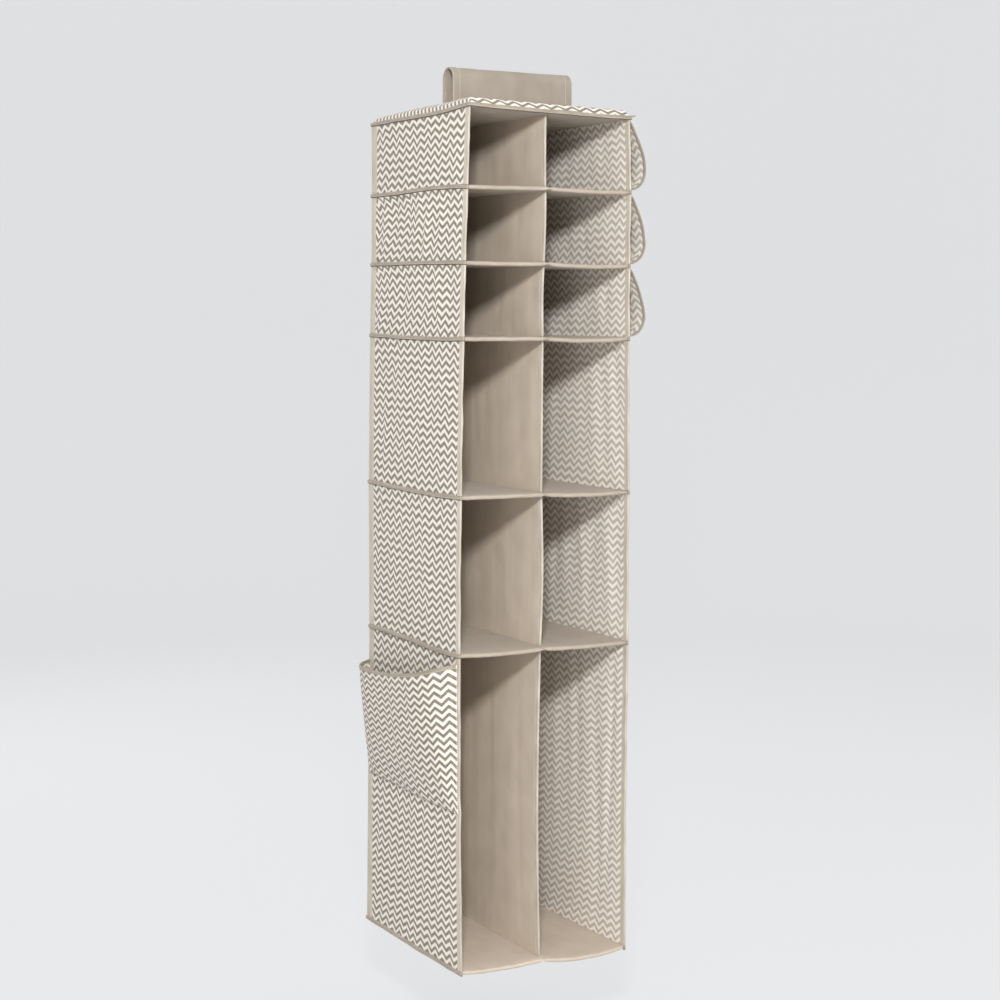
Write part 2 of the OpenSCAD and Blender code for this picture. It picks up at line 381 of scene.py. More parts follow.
@dataclass(frozen=True)
class Value:
    """A number that varies over a surface: arithmetic on it adds Math nodes to its graph."""

    graph: "Graph"
    socket: bpy.types.NodeSocket

    def math(self, operation: str, *terms: "Value | float") -> "Value":
        """Adds one Math node with the given values in order."""
        return self.graph.node("ShaderNodeMath", {"operation": operation}, dict(enumerate(terms)))

    def __add__(self, other: "Value | float") -> "Value":
        """Sum."""
        return self.math("ADD", self, other)

    def __radd__(self, other: float) -> "Value":
        """Sum with a number in front."""
        return self.math("ADD", other, self)

    def __sub__(self, other: "Value | float") -> "Value":
        """Difference."""
        return self.math("SUBTRACT", self, other)

    def __rsub__(self, other: float) -> "Value":
        """Difference from a number."""
        return self.math("SUBTRACT", other, self)

    def __mul__(self, other: "Value | float") -> "Value":
        """Product."""
        return self.math("MULTIPLY", self, other)

    def __truediv__(self, other: "Value | float") -> "Value":
        """Quotient."""
        return self.math("DIVIDE", self, other)

    def __abs__(self) -> "Value":
        """Size without the sign."""
        return self.math("ABSOLUTE", self)

    def part(self) -> "Value":
        """Part after the point, so that a pattern repeats."""
        return self.math("FRACT", self)

    def wave(self) -> "Value":
        """Sine of whole turns."""
        return self.math("SINE", self * (2.0 * math.pi))

    def held(self) -> "Value":
        """Value held between 0 and 1."""
        return self.math("MINIMUM", self.math("MAXIMUM", self, 0.0), 1.0)


class Graph:
    """Node tree of one material, with the places on its cloth at hand."""

    MIX_FACTOR, MIX_LOW, MIX_HIGH, MIX_RESULT = 0, 6, 7, 2
    RELIEF_STRENGTH, SHEEN_ROUGHNESS, SPECULAR = 0.6, 0.5, 0.25

    def __init__(self, name: str) -> None:
        """Starts a material.

        Args:
            name: Name of the material.
        """
        self.material = bpy.data.materials.new(name)
        self.material.use_nodes = True
        self.tree = self.material.node_tree
        self.shader = self.tree.nodes["Principled BSDF"]

    @cached_property
    def place(self) -> Value:
        """Place on the cloth."""
        return self.node("ShaderNodeUVMap", {"uv_map": CLOTH_MAP})

    @cached_property
    def u(self) -> Value:
        """Place across the cloth."""
        return self.node("ShaderNodeSeparateXYZ", {}, {0: self.place}, "X")

    @cached_property
    def v(self) -> Value:
        """Place up the cloth."""
        return self.node("ShaderNodeSeparateXYZ", {}, {0: self.place}, "Y")

    def node(self, kind: str, settings: dict, inputs: dict | None = None, output: int | str = 0) -> Value:
        """Adds any node.

        Args:
            kind: Type of the node.
            settings: Its properties, which are set first.
            inputs: Values or links by socket name or number.
            output: The socket that is wanted.

        Returns:
            That output.
        """
        made = self.tree.nodes.new(kind)
        for key, setting in settings.items():
            setattr(made, key, setting)
        for key, value in (inputs or {}).items():
            if isinstance(value, Value):
                self.tree.links.new(value.socket, made.inputs[key])
            else:
                made.inputs[key].default_value = value
        return Value(self, made.outputs[output])

    def noise(self, grain: Grain) -> Value:
        """Cloudy noise on the cloth, mostly between 0.3 and 0.7.

        Args:
            grain: Its clouds.

        Returns:
            The noise.
        """
        place = {"X": self.u * grain.across, "Y": self.v * grain.up}
        vector = self.node("ShaderNodeCombineXYZ", {}, place)
        inputs = {"Vector": vector, "Scale": 1.0, "Detail": grain.octaves}
        return self.node("ShaderNodeTexNoise", {"noise_dimensions": "2D"}, inputs)

    def waves(self, pitch: float) -> Value:
        """Product of a sine across the cloth and a sine up it, with a pitch in millimetres."""
        return (self.u / (pitch * MM)).wave() * (self.v / (pitch * MM)).wave()

    def mix(self, share: Value, low: Value | Colour, high: Value | Colour) -> Value:
        """Mixes two colours by the share of the second.

        Args:
            share: Share of the second colour.
            low: First colour.
            high: Second colour.

        Returns:
            The mixed colour.
        """
        ends = {self.MIX_FACTOR: share}
        for socket, colour in ((self.MIX_LOW, low), (self.MIX_HIGH, high)):
            ends[socket] = colour if isinstance(colour, Value) else (*colour, 1.0)
        return self.node("ShaderNodeMix", {"data_type": "RGBA"}, ends, self.MIX_RESULT)

    def finish(self, colour: Value, roughness: Value, height: Value, depth: float, sheen: float) -> Material:
        """Links the finished values to the shader.

        Args:
            colour: Base colour.
            roughness: Roughness.
            height: Height of the relief, from 0 to 1.
            depth: Depth of the relief in millimetres.
            sheen: Weight of the sheen of loose fibres.

        Returns:
            The material.
        """
        relief = {"Strength": self.RELIEF_STRENGTH, "Distance": depth * MM, "Height": height}
        bump = self.node("ShaderNodeBump", {}, relief, "Normal")
        for name, value in (("Base Color", colour), ("Roughness", roughness), ("Normal", bump)):
            self.tree.links.new(value.socket, self.shader.inputs[name])
        self.shader.inputs["Sheen Weight"].default_value = sheen
        self.shader.inputs["Sheen Roughness"].default_value = self.SHEEN_ROUGHNESS
        self.shader.inputs["Specular IOR Level"].default_value = self.SPECULAR
        return self.material


Pattern = tuple[Value | float, Value | float]


def tone(red: int, green: int, blue: int) -> Colour:
    """Linear colour of a display colour of 0 to 255, by the display's power curve."""
    shares = np.array([red, green, blue]) / 255.0
    return tuple(np.where(shares <= 0.04045, shares / 12.92, ((shares + 0.055) / 1.055) ** 2.4).tolist())


def streaked(streaks: float) -> Grains:
    """Clouds, streaks of a number in a metre, and fibres of a plain cloth."""
    cloud, fibre = Grain(22.0, 22.0, 4.0, shade=0.9), Grain(900.0, 900.0, shade=0.7, relief=0.45)
    return cloud, Grain(streaks, 4.0, 3.0, shade=0.4, relief=0.2), fibre


@dataclass(frozen=True)
class Finish:
    """A finish between two tones, by noises and a pattern of its own.

    Its roughness has a least value and a rise with the first noise, and its relief a depth in millimetres.
    """

    name: str
    light: Colour
    deep: Colour
    grains: Grains = streaked(75.0)
    rough: Pair = (0.8, 0.16)
    depth: float = 0.25
    sheen: float = 0.12

    def pattern(self, graph: Graph) -> Pattern:
        """What the pattern adds to shade and relief, which is nothing on a finish without one."""
        return 0.0, 0.0

    def coloured(self, graph: Graph, shade: Value, wear: Value) -> Value:
        """Colour between the two tones by the shade."""
        return graph.mix(shade, self.deep, self.light)

    def material(self) -> Material:
        """Builds the finish: shade and relief are the pattern plus the weighted sums of the noises.

        Returns:
            The material.
        """
        graph = Graph(self.name)
        noises = [graph.noise(grain) for grain in self.grains]
        shade, relief = self.pattern(graph)
        for grain, noise in zip(self.grains, noises):
            shade = shade + (noise - 0.5) * grain.shade
            relief = relief + noise * grain.relief
        colour = self.coloured(graph, (shade + 0.5).held(), noises[0])
        least, rise = self.rough
        return graph.finish(colour, least + noises[0] * rise, relief, self.depth, self.sheen)


@dataclass(frozen=True)
class ChevronFabric(Finish):
    """Non-woven cloth printed with zigzag stripes in two tones, paler on its reverse, partly as print and
    partly as painted light standing in for light shining through the thin cloth.

    Ragged and stray hold the noise that frays the stripes or leads them astray, and how far in millimetres.
    """

    grains: Grains = (Grain(95.0, 95.0, 4.0), Grain(1500.0, 1500.0, relief=0.5))
    rough: Pair = (0.78, 0.2)
    depth: float = 0.22
    # Reverse tones: paler print, partly painted light that brightens inner faces as if lit through the thin
    # cloth.
    reverse_light_and_painted_glow: Colour = tone(244, 238, 230)
    reverse_deep_and_painted_glow: Colour = tone(188, 180, 170)
    rubbed: Colour = tone(196, 188, 178)
    rub_from: float = 0.32
    rub_rate: float = 0.42
    period: float = 27.2
    repeat: float = 13.1
    swing: float = 9.6
    light_share: float = 0.5
    edge: float = 0.11
    ragged: tuple[Grain, float] = (Grain(520.0, 520.0), 1.8)
    stray: tuple[Grain, float] = (Grain(14.0, 14.0), 2.5)
    emboss: float = 1.7
    emboss_relief: float = 0.25

    def pattern(self, graph: Graph) -> Pattern:
        """Light where the height plus a triangle wave, over the repeat, falls in the light share of a turn.

        Args:
            graph: Nodes of the material.

        Returns:
            The stripes, and the relief of a slanting grid of sines.
        """
        jag, drift = ((graph.noise(grain) - 0.5) * (far * MM) for grain, far in (self.ragged, self.stray))
        zigzag = abs((graph.u / (self.period * MM)).part() - 0.5) * (2.0 * self.swing * MM)
        off_centre = abs(((graph.v + zigzag + jag + drift) / (self.repeat * MM)).part() - 0.5)
        pitch = self.emboss * MM
        dimple = ((graph.u + graph.v) / pitch).wave() * ((graph.u - graph.v) / pitch).wave()
        return (self.light_share / 2.0 - off_centre) / self.edge, dimple * self.emboss_relief

    def coloured(self, graph: Graph, shade: Value, wear: Value) -> Value:
        """Stripes in the tones of the front or the paler reverse, whose tones are partly painted light,
        rubbed where the wear is high.

        Args:
            graph: Nodes of the material.
            shade: Share of the light tone.
            wear: Noise of the wear.

        Returns:
            The colour.
        """
        # Inner faces take the paler reverse tones, which are partly painted light.
        reverse = graph.node("ShaderNodeAttribute", {"attribute_name": REVERSE_MARK}, output="Fac")
        pairs = (self.deep, self.light), (self.reverse_deep_and_painted_glow, self.reverse_light_and_painted_glow)
        stripe = graph.mix(reverse, *(graph.mix(shade, *pair) for pair in pairs))
        return graph.mix((wear - self.rub_from) * self.rub_rate, stripe, self.rubbed)


@dataclass(frozen=True)
class PlainFabric(Finish):
    """Plain non-woven cloth with faint upright streaks and a fine square emboss."""

    emboss: float = 1.9
    emboss_shade: float = 0.1
    emboss_relief: float = 0.22

    def pattern(self, graph: Graph) -> Pattern:
        """Grid of sines."""
        grid = graph.waves(self.emboss)
        return grid * self.emboss_shade, grid * self.emboss_relief


@dataclass(frozen=True)
class BindingTape(Finish):
    """Narrow woven tape with ribs across it, a little rubbed, and darkened by painted shade in the crease
    along its lower edge.
    """

    grains: Grains = (
        Grain(60.0, 26.0, 4.0, shade=1.5), Grain(1300.0, 1300.0, shade=0.7, relief=0.4)
    )
    rough: Pair = (0.74, 0.2)
    depth: float = 0.2
    sheen: float = 0.14
    rib: float = 1.1
    rib_shade: float = 0.08
    rib_relief: float = 0.25
    warp: float = 0.8
    warp_relief: float = 0.12
    # Painted shade in the crease at the lower edge: its share, where it starts across the tape, how far it
    # fades in (mm) and its tone.
    crease: float = 0.0
    crease_from: float = -5.6
    painted_crease_shade_run: float = 3.0
    painted_crease_shade_tone: Colour = tone(84, 74, 62)

    def pattern(self, graph: Graph) -> Pattern:
        """Sine of the ribs along the tape, and in the relief also of the warp across it."""
        rib, warp = (graph.v / (self.rib * MM)).wave(), (graph.u / (self.warp * MM)).wave()
        return rib * self.rib_shade, rib * self.rib_relief + warp * self.warp_relief

    def coloured(self, graph: Graph, shade: Value, wear: Value) -> Value:
        """Colour between the two tones, darkened by painted shade in the crease along the lower edge."""
        # Painted shade: darkest at the tape's lower edge, standing in for the shadow in the crease under the
        # roll.
        low = ((self.crease_from * MM - graph.u) / (self.painted_crease_shade_run * MM)).held() * self.crease
        return graph.mix(low, super().coloured(graph, shade, wear), self.painted_crease_shade_tone)


@dataclass(frozen=True)
class Thread(Finish):
    """Spun sewing thread with a visible twist."""

    grains: Grains = (Grain(2000.0, 2000.0, shade=0.3),)
    rough: Pair = (0.6, 0.2)
    depth: float = 0.1
    sheen: float = 0.1
    twist: float = 0.9
    twist_shade: float = 0.35
    twist_relief: float = 0.5

    def pattern(self, graph: Graph) -> Pattern:
        """Sine along the thread."""
        twist = (graph.u / (self.twist * MM)).wave()
        return twist * self.twist_shade, twist * self.twist_relief


@dataclass(frozen=True)
class ClosureTape(Finish):
    """Hook-and-loop tape: a dense pile of tiny tufts, a little in their own shade."""

    grains: Grains = (Grain(1100.0, 1100.0, 3.0, shade=0.6, relief=0.4),)
    rough: Pair = (0.7, 0.25)
    depth: float = 0.5
    sheen: float = 0.2
    tuft: float = 1.5
    tuft_shade: float = 0.25
    tuft_relief: float = 0.3
    dark: float = 0.05

    def pattern(self, graph: Graph) -> Pattern:
        """Rows of tufts as a grid of sines."""
        tuft = graph.waves(self.tuft)
        return tuft * self.tuft_shade - self.dark, tuft * self.tuft_relief


@dataclass(frozen=True)
class ChipBoard(Finish):
    """Grey-brown pressed board of recycled fibre, with dark specks where fine noise is low."""

    grains: Grains = (
        Grain(700.0, 700.0, shade=1.6, relief=1.0), Grain(30.0, 30.0, 5.0, shade=1.4)
    )
    rough: Pair = (0.82, 0.15)
    depth: float = 0.15
    sheen: float = 0.0


@dataclass(frozen=True)
class Finishes:
    """Every material of the organizer."""

    chevron: Material
    plain: Material
    lining: Material
    strap: Material
    tape: Material
    seam: Material
    thread: Material
    hook: Material
    loop: Material
    board: Material

    @classmethod
    def mixed(cls) -> "Finishes":
        """Makes each material once.

        Returns:
            The materials.
        """
        finishes = {
            "chevron": ChevronFabric("chevron_fabric", tone(230, 223, 213), tone(118, 110, 98)),
            "plain": PlainFabric("panel_fabric", tone(207, 194, 178), tone(186, 172, 155)),
            "lining": PlainFabric("shelf_fabric", tone(184, 173, 158), tone(162, 150, 135)),
            "strap": PlainFabric("strap_fabric", tone(163, 154, 142), tone(142, 133, 121), streaked(40.0)),
            "tape": BindingTape("edge_tape", tone(200, 192, 179), tone(171, 161, 146)),
            # The seam tape carries painted shade in the crease under its roll.
            "seam": BindingTape("seam_tape", tone(170, 160, 146), tone(138, 127, 113), crease=0.85),
            "thread": Thread("sewing_thread", tone(226, 218, 205), tone(178, 168, 153)),
            "hook": ClosureTape("hook_tape", tone(172, 163, 150), tone(120, 110, 98), tuft=1.5),
            "loop": ClosureTape("loop_tape", tone(196, 187, 173), tone(150, 140, 126), tuft=0.9),
            "board": ChipBoard("chip_board", tone(176, 158, 132), tone(128, 112, 92)),
        }
        return cls(**{use: finish.material() for use, finish in finishes.items()})


@dataclass(frozen=True)
class Body:
    """Sizes of the sewn body, as its source gives them."""

    width: float = 305.0
    depth: float = 356.0
    tiers: Row = (121.0, 121.0, 121.0, 254.0, 254.0, 520.0)
    rod_rise: float = 58.0
    rod_setback: float = 147.0
    shelf: float = 6.6
    wall: float = 2.0
    cover: float = 1.0
    board: float = 4.0
    board_split: float = 10.0
    play: float = 0.3
    hem: float = 8.0
    bind: float = 0.8
    front_tape: float = 12.0
    corner_tape: float = 20.0
    roll_height: float = 7.5
    roll_out: float = 3.0
    seam_gap: float = 0.3
    divider_setback: float = 18.0
    shelf_setback: float = 4.0
    folded_height: float = 4.4
    sewn_in: float = 1.0

    @property
    def side_x(self) -> float:
        """X of the right side."""
        return self.width / 2.0

    @property
    def front_y(self) -> float:
        """Y of the front."""
        return -self.rod_setback

    @property
    def back_y(self) -> float:
        """Y of the back."""
        return self.depth - self.rod_setback

    @property
    def count(self) -> int:
        """Number of tiers."""
        return len(self.tiers)

    def seam_z(self, k: int) -> float:
        """Height of seam k, counted from 0 at the top."""
        return -self.rod_rise - self.shelf / 2.0 - sum(self.tiers[:k])

    def span(self, k: int, thick: float) -> Pair:
        """Lower and upper end of what hangs in tier k between seams of a thickness."""
        return self.seam_z(k) + thick / 2.0 + self.seam_gap, self.seam_z(k - 1) - thick / 2.0

    def panels(self, k: int) -> Pair:
        """Lower and upper end of the panels of tier k."""
        return self.span(k, self.shelf)

    def tapes(self, k: int) -> Pair:
        """Lower and upper end of the tapes on the upright edges of tier k."""
        return self.span(k, self.roll_height)

    def up(self, k: int, z: Array) -> Array:
        """Share of the height of tier k, from 0 at its lower seam to 1 at its upper seam."""
        return (z - self.seam_z(k)) / self.tiers[k - 1]

    def back_share(self, y: Array) -> Array:
        """Share of the depth, from 0 at the front to 1 at the back."""
        return held((y - self.front_y) / self.depth)

    def carrier(self, k: int) -> str:
        """CAD body that carries the panels of tier k."""
        return "top" if k == 1 else f"shelf_{k - 1}"

    def seam_body(self, k: int) -> str:
        """CAD body of the shelf or bottom at seam k."""
        return "bottom" if k == self.count else f"shelf_{k}"

    def fold(self, k: int) -> Fold:
        """Fold of tier k: its joint, the upper end of its panels and the share of their height that is kept.
        """
        low, high = self.panels(k)
        return Fold(f"tier_{k}_fold", high, self.folded_height / (high - low))


@dataclass(frozen=True)
class Hang:
    """How the soft body hangs out of true: its edges lean from seam to seam, and the top's front lifts."""

    body: Body = Body()
    front_left: Row = (4.0, 1.0, -2.0, -4.0, -6.5, -7.0, 1.0)
    front_right: Row = (-3.5, 1.0, 1.0, 2.0, 5.0, 6.5, 8.5)
    back: Row = (0.0, 1.0, 1.0, -1.0, -2.5, 0.0, -2.0)
    above: float = 20.0
    front_lift: Row = (5.5, 1.8, -0.5)
    lift_reach: float = 0.3

    def moved(self, points: Array) -> Array:
        """Points of the true body as they hang.

        The shift to the right runs straight from seam to seam down each edge and straight between the edges,
        and fades out above the top seam. The rise is blended across the front of the top, and fades to the
        back and down the first tier.

        Args:
            points: Points of the true body, one per row.

        Returns:
            The moved points.
        """
        body, (x, y, z) = self.body, points.T
        share = body.back_share(y)
        seams = [body.seam_z(k) for k in range(body.count, -1, -1)]
        edges = (self.front_left, self.front_right, self.back)
        left, right, back = (np.interp(z, seams, edge[::-1]) for edge in edges)
        front = left + (right - left) * held(0.5 + x / body.width)
        shift = (front + (back - front) * share) * (1.0 - smooth((z - seams[-1]) / self.above))
        lift = np.interp(x, (-body.side_x, 0.0, body.side_x), self.front_lift)
        rise = lift * (1.0 - smooth(share / self.lift_reach)) * held(body.up(1, z))
        return placed(x + shift, y, z + rise)


@dataclass(frozen=True)
class Drift:
    """Slow aimless drift along a seam or edge: the mean of sines of unrelated lengths and drawn phases."""

    seed: int
    wave: float
    size: float
    LENGTHS = (1.0, 0.61, 0.37, 0.21)
    WEIGHTS = (0.4, 0.3, 0.2, 0.1)

    def at(self, along: Array, turn: int = 0) -> Array:
        """Drift at distances along the edge, up to its size either way.

        Args:
            along: Distances along the edge.
            turn: Added to the seed, so that each edge drifts in its own way.

        Returns:
            The drift.
        """
        phases = np.random.default_rng(self.seed + turn).uniform(0.0, 2.0 * np.pi, len(self.WEIGHTS))
        turns = 2.0 * np.pi / (self.wave * np.array(self.LENGTHS))
        return self.size * (np.sin(along[..., None] * turns + phases) * self.WEIGHTS).sum(-1)


@dataclass(frozen=True)
class Puckers:
    """Soft upright folds where slack cloth is gathered into a seam."""

    place: Array
    width: Array
    height: Array
    lean: Array
    low: Array
    high: Array
    OUTWARD_SHARE, INWARD_HEIGHT = 0.62, -0.8
    PLACES, WIDTHS, HEIGHTS = (0.1, 0.9), (0.6, 1.5), (0.35, 1.0)
    LEANS, LOWS, HIGHS = (-2.2, 2.2), (0.5, 1.8), (0.4, 1.2)
    CLOTH_TAKEN = 2.4

    @classmethod
    def drawn(cls, seed: int, run: float, count: int, height: float, width: float) -> "Puckers":
        """Draws folds at uneven places.

        Args:
            seed: Draws the folds.
            run: Width of the panel.
            count: Number of folds.
            height: Height of a strong fold.
            width: Half the width of a common fold.

        Returns:
            The folds.
        """
        rng = np.random.default_rng(seed)
        place = (np.arange(count) + rng.uniform(*cls.PLACES, count)) * run / count
        sign = np.where(rng.uniform(size=count) < cls.OUTWARD_SHARE, 1.0, cls.INWARD_HEIGHT)
        return cls(
            place=place,
            width=width * rng.uniform(*cls.WIDTHS, count),
            height=height * sign * rng.uniform(*cls.HEIGHTS, count),
            lean=width * rng.uniform(*cls.LEANS, count),
            low=rng.uniform(*cls.LOWS, count),
            high=rng.uniform(*cls.HIGHS, count),
        )

    def bells(self, along: Array, up: Array) -> tuple[Array, Array]:
        """Offset from each fold in its widths, and its fade up^low (1 - up)^high, scaled to 1 at its peak.

        Args:
            along: Places across the panel.
            up: Shares of the panel's height.

        Returns:
            The offsets and the fades, with one entry per fold in the last axis.
        """
        share = held(up)[..., None]
        offset = (along[..., None] - self.place - self.lean * (share - 0.5)) / self.width
        total = self.low + self.high
        peak = (self.low / total) ** self.low * (self.high / total) ** self.high
        return offset, share**self.low * (1.0 - share) ** self.high / peak

    def rise(self, along: Array, up: Array) -> Array:
        """Height over the flat panel: the sum of leaning bell curves that fade out at both seams."""
        offset, fade = self.bells(along, up)
        return (self.height * np.exp(-(offset**2)) * fade).sum(-1)

    def taken(self, along: Array, up: Array) -> Array:
        """Extra width of cloth that the folds before a place take up, a soft step at each fold."""
        offset, fade = self.bells(along, up)
        return (self.CLOTH_TAKEN * np.abs(self.height) * (0.5 + 0.5 * np.tanh(offset)) * fade).sum(-1)


@dataclass(frozen=True)
class Slack:
    """How the soft body hangs: wavy seams, sagging shelves and puckered panels.

    Each wave row holds the heights of a seam's edge from the front to the back, and each sag pair the drop of
    the shelf in the left and right cell. Ripples are given by their number, height and half width.
    """

    body: Body
    left_wave: tuple[Row, ...] = (
        (0.0, 0.0, 0.0, 0.0, 0.0),
        (-3.0, 0.3, 0.0, -1.3, -1.0),
        (-1.2, 0.6, 1.4, 1.7, 1.6),
        (-0.8, -1.8, -1.6, -0.4, 0.8),
        (0.0, -1.6, -2.0, -1.2, 0.0),
        (0.0, -1.2, 0.4, 1.2, 0.0),
        (0.0, -0.8, -1.0, -0.3, 0.0),
    )
    right_wave: tuple[Row, ...] = (
        (0.0, 0.0, 0.0, 0.0, 0.0),
        (-0.8, 1.2, 1.4, 0.5, 0.0),
        (-0.6, -1.2, -0.6, 0.3, 0.0),
        (0.4, 1.2, 0.8, 0.2, 0.0),
        (-0.5, -1.4, -1.2, -0.6, 0.0),
        (0.3, 1.0, 0.2, -0.6, 0.0),
        (0.0, -0.9, -1.2, -0.5, 0.0),
    )
    sag: tuple[Row, ...] = (
        (0.6, 0.8), (0.9, 2.0), (1.3, 2.8), (0.6, 3.4), (0.6, 3.0), (2.6, 1.8), (3.6, 8.0)
    )
    sag_round: float = 2.2
    sag_fade: float = 1.3
    left_folds: Row = (1.2, 3.6, 3.2, 2.0, 2.0, 2.2)
    right_folds: Row = (1.0, 1.8, 1.8, 1.8, 2.0, 2.2)
    left_billow: Row = (1.8, 1.4, 1.6, 1.8, 1.8, 2.4)
    right_billow: Row = (0.8, 0.8, 0.8, 1.6, 1.8, 2.6)
    divider_bow: Row = (0.0, 0.8, -1.5, 0.4, 3.0, -5.0)
    bow_fade: float = 1.4
    scallop: Row = (0.8, 1.0, 0.9, 1.6, 1.6, 2.6)
    scallop_fade: int = 6
    low_folds: tuple[int, float] = (9, 10.0)
    tall_folds: tuple[int, float] = (8, 13.0)
    tall: float = 200.0
    divider_ripples: tuple[int, float, float] = (11, 0.9, 12.0)
    back_ripples: tuple[int, float, float] = (8, 1.0, 13.0)
    back_billow: float = 1.2
    corner: float = 24.0
    edge_drift: Drift = Drift(0, 130.0, 1.1)
    edge_fade: int = 3
    edge_seed_step: int = 70
    edge_hold: Pair = (0.1, 0.08)
    blunt: float = 0.8
    fold_seeds: tuple[int, int] = (7, 23)
    fold_seed_step: int = 40
    divider_seed: int = 90
    back_seed: int = 140

    def shares(self, k: int, y: Array, z: Array) -> tuple[Array, Array]:
        """Share of the height of tier k, held inside it, and share of the depth."""
        return held(self.body.up(k, z)), self.body.back_share(y)

    def seam(self, k: int, x: Places, y: Places) -> Array:
        """Height of shelf k over its seam line.

        The edges follow their wave, which fades with the square of the distance to the level divider line.
        Each cell drops by its sag times 1 - |2c - 1|^round across and (1 - v)^fade from front to back.

        Args:
            k: Seam, from 0 at the top.
            x: Places across the body.
            y: Places from front to back.

        Returns:
            The heights.
        """
        share, cell = self.body.back_share(y), held(np.abs(x) / self.body.side_x)
        edge = np.where(x < 0, through(self.left_wave[k], share), through(self.right_wave[k], share))
        hollow = 1.0 - np.abs(2.0 * cell - 1.0) ** self.sag_round
        drop = np.where(x < 0, *self.sag[k]) * hollow * (1.0 - share) ** self.sag_fade
        return edge * cell**2 - drop

    def lift(self, k: int, x: Places, y: Places, z: Array) -> Array:
        """Height shift inside tier k, from its lower seam's shift to its upper seam's in proportion."""
        up = self.body.up(k, z)
        return (1.0 - up) * self.seam(k, x, y) + up * self.seam(k - 1, x, y)

    def folds(self, k: int, side: Side) -> Puckers:
        """Folds of a side wall.

        Args:
            k: Tier.
            side: The wall's side.

        Returns:
            The folds.
        """
        rows = zip((self.left_folds, self.right_folds), self.fold_seeds)
        heights, seed = dict(zip(Side, rows))[side]
        count, width = self.low_folds if self.body.tiers[k - 1] < self.tall else self.tall_folds
        return Puckers.drawn(self.fold_seed_step * k + seed, self.body.depth, count, heights[k - 1], width)

    def side(self, k: int, side: Side, y: Array, z: Array) -> Array:
        """Outward shift of a side wall: a billow, its folds, and a wave of its free front edge.

        The billow is a half sine up and another along, both blunted by a power. The folds fade out at
        the front and back edges, and the wave fades with a power of the share left to the back.

        Args:
            k: Tier.
            side: The wall's side.
            y: Places from front to back.
            z: Heights.

        Returns:
            The shift.
        """
        up, share = self.shares(k, y, z)
        billow = (self.left_billow if side is Side.LEFT else self.right_billow)[k - 1]
        dome = billow * arch(up) ** self.blunt * arch(share**self.blunt)
        fade = smooth(share / self.edge_hold[0]) * smooth((1.0 - share) / self.edge_hold[1])
        drift = self.edge_drift.at(z, self.edge_seed_step * k + side.value)
        wave = drift * arch(up) * (1.0 - share) ** self.edge_fade
        return dome + wave + fade * self.folds(k, side).rise(y - self.body.front_y, up)

    def tuck_in(self, k: int, y: Array, z: Array) -> Array:
        """Backward shift of the free front edges between two seams: scallop sin(pi up) (1 - v)^fade."""
        up, share = self.shares(k, y, z)
        return self.scallop[k - 1] * arch(up) * (1.0 - share) ** self.scallop_fade

    def divider(self, k: int, y: Array, z: Array) -> Array:
        """Shift of the divider to the right: a bow sin(pi up) (1 - v)^fade, and upright ripples.

        Args:
            k: Tier.
            y: Places from front to back.
            z: Heights.

        Returns:
            The shift.
        """
        up, share = self.shares(k, y, z)
        ripples = Puckers.drawn(self.divider_seed + k, self.body.depth, *self.divider_ripples)
        bow = self.divider_bow[k - 1] * arch(up) * (1.0 - share) ** self.bow_fade
        return bow + ripples.rise(y - self.body.front_y, up) * smooth((1.0 - share) / self.edge_hold[1])

    def back(self, k: int, x: Array, z: Array) -> Array:
        """Backward shift of the back wall: a blunt half sine up, and upright ripples between the corners.

        Args:
            k: Tier.
            x: Places across the body.
            z: Heights.

        Returns:
            The shift.
        """
        body, up = self.body, held(self.body.up(k, z))
        ripples = Puckers.drawn(self.back_seed + k, body.width, *self.back_ripples).rise(x + body.side_x, up)
        fade = smooth((body.side_x - np.abs(x)) / self.corner)
        return fade * (ripples + self.back_billow * arch(up) ** self.blunt)


@dataclass(frozen=True)
class Sewn:
    """What every sewn group knows: its tier or seam, the body, its slack and the finishes."""

    k: int
    body: Body
    slack: Slack
    finishes: Finishes

    def hang(self, skin: Skin, name: str, finish: Material, slot: Slot, *nodes: str) -> Piece:
        """Builds a piece on the body that carries its tier, standing for the given CAD nodes."""
        carrier, fold = self.body.carrier(self.k), self.body.fold(self.k)
        return settle(skin.build(name, finish), carrier, nodes, fold)


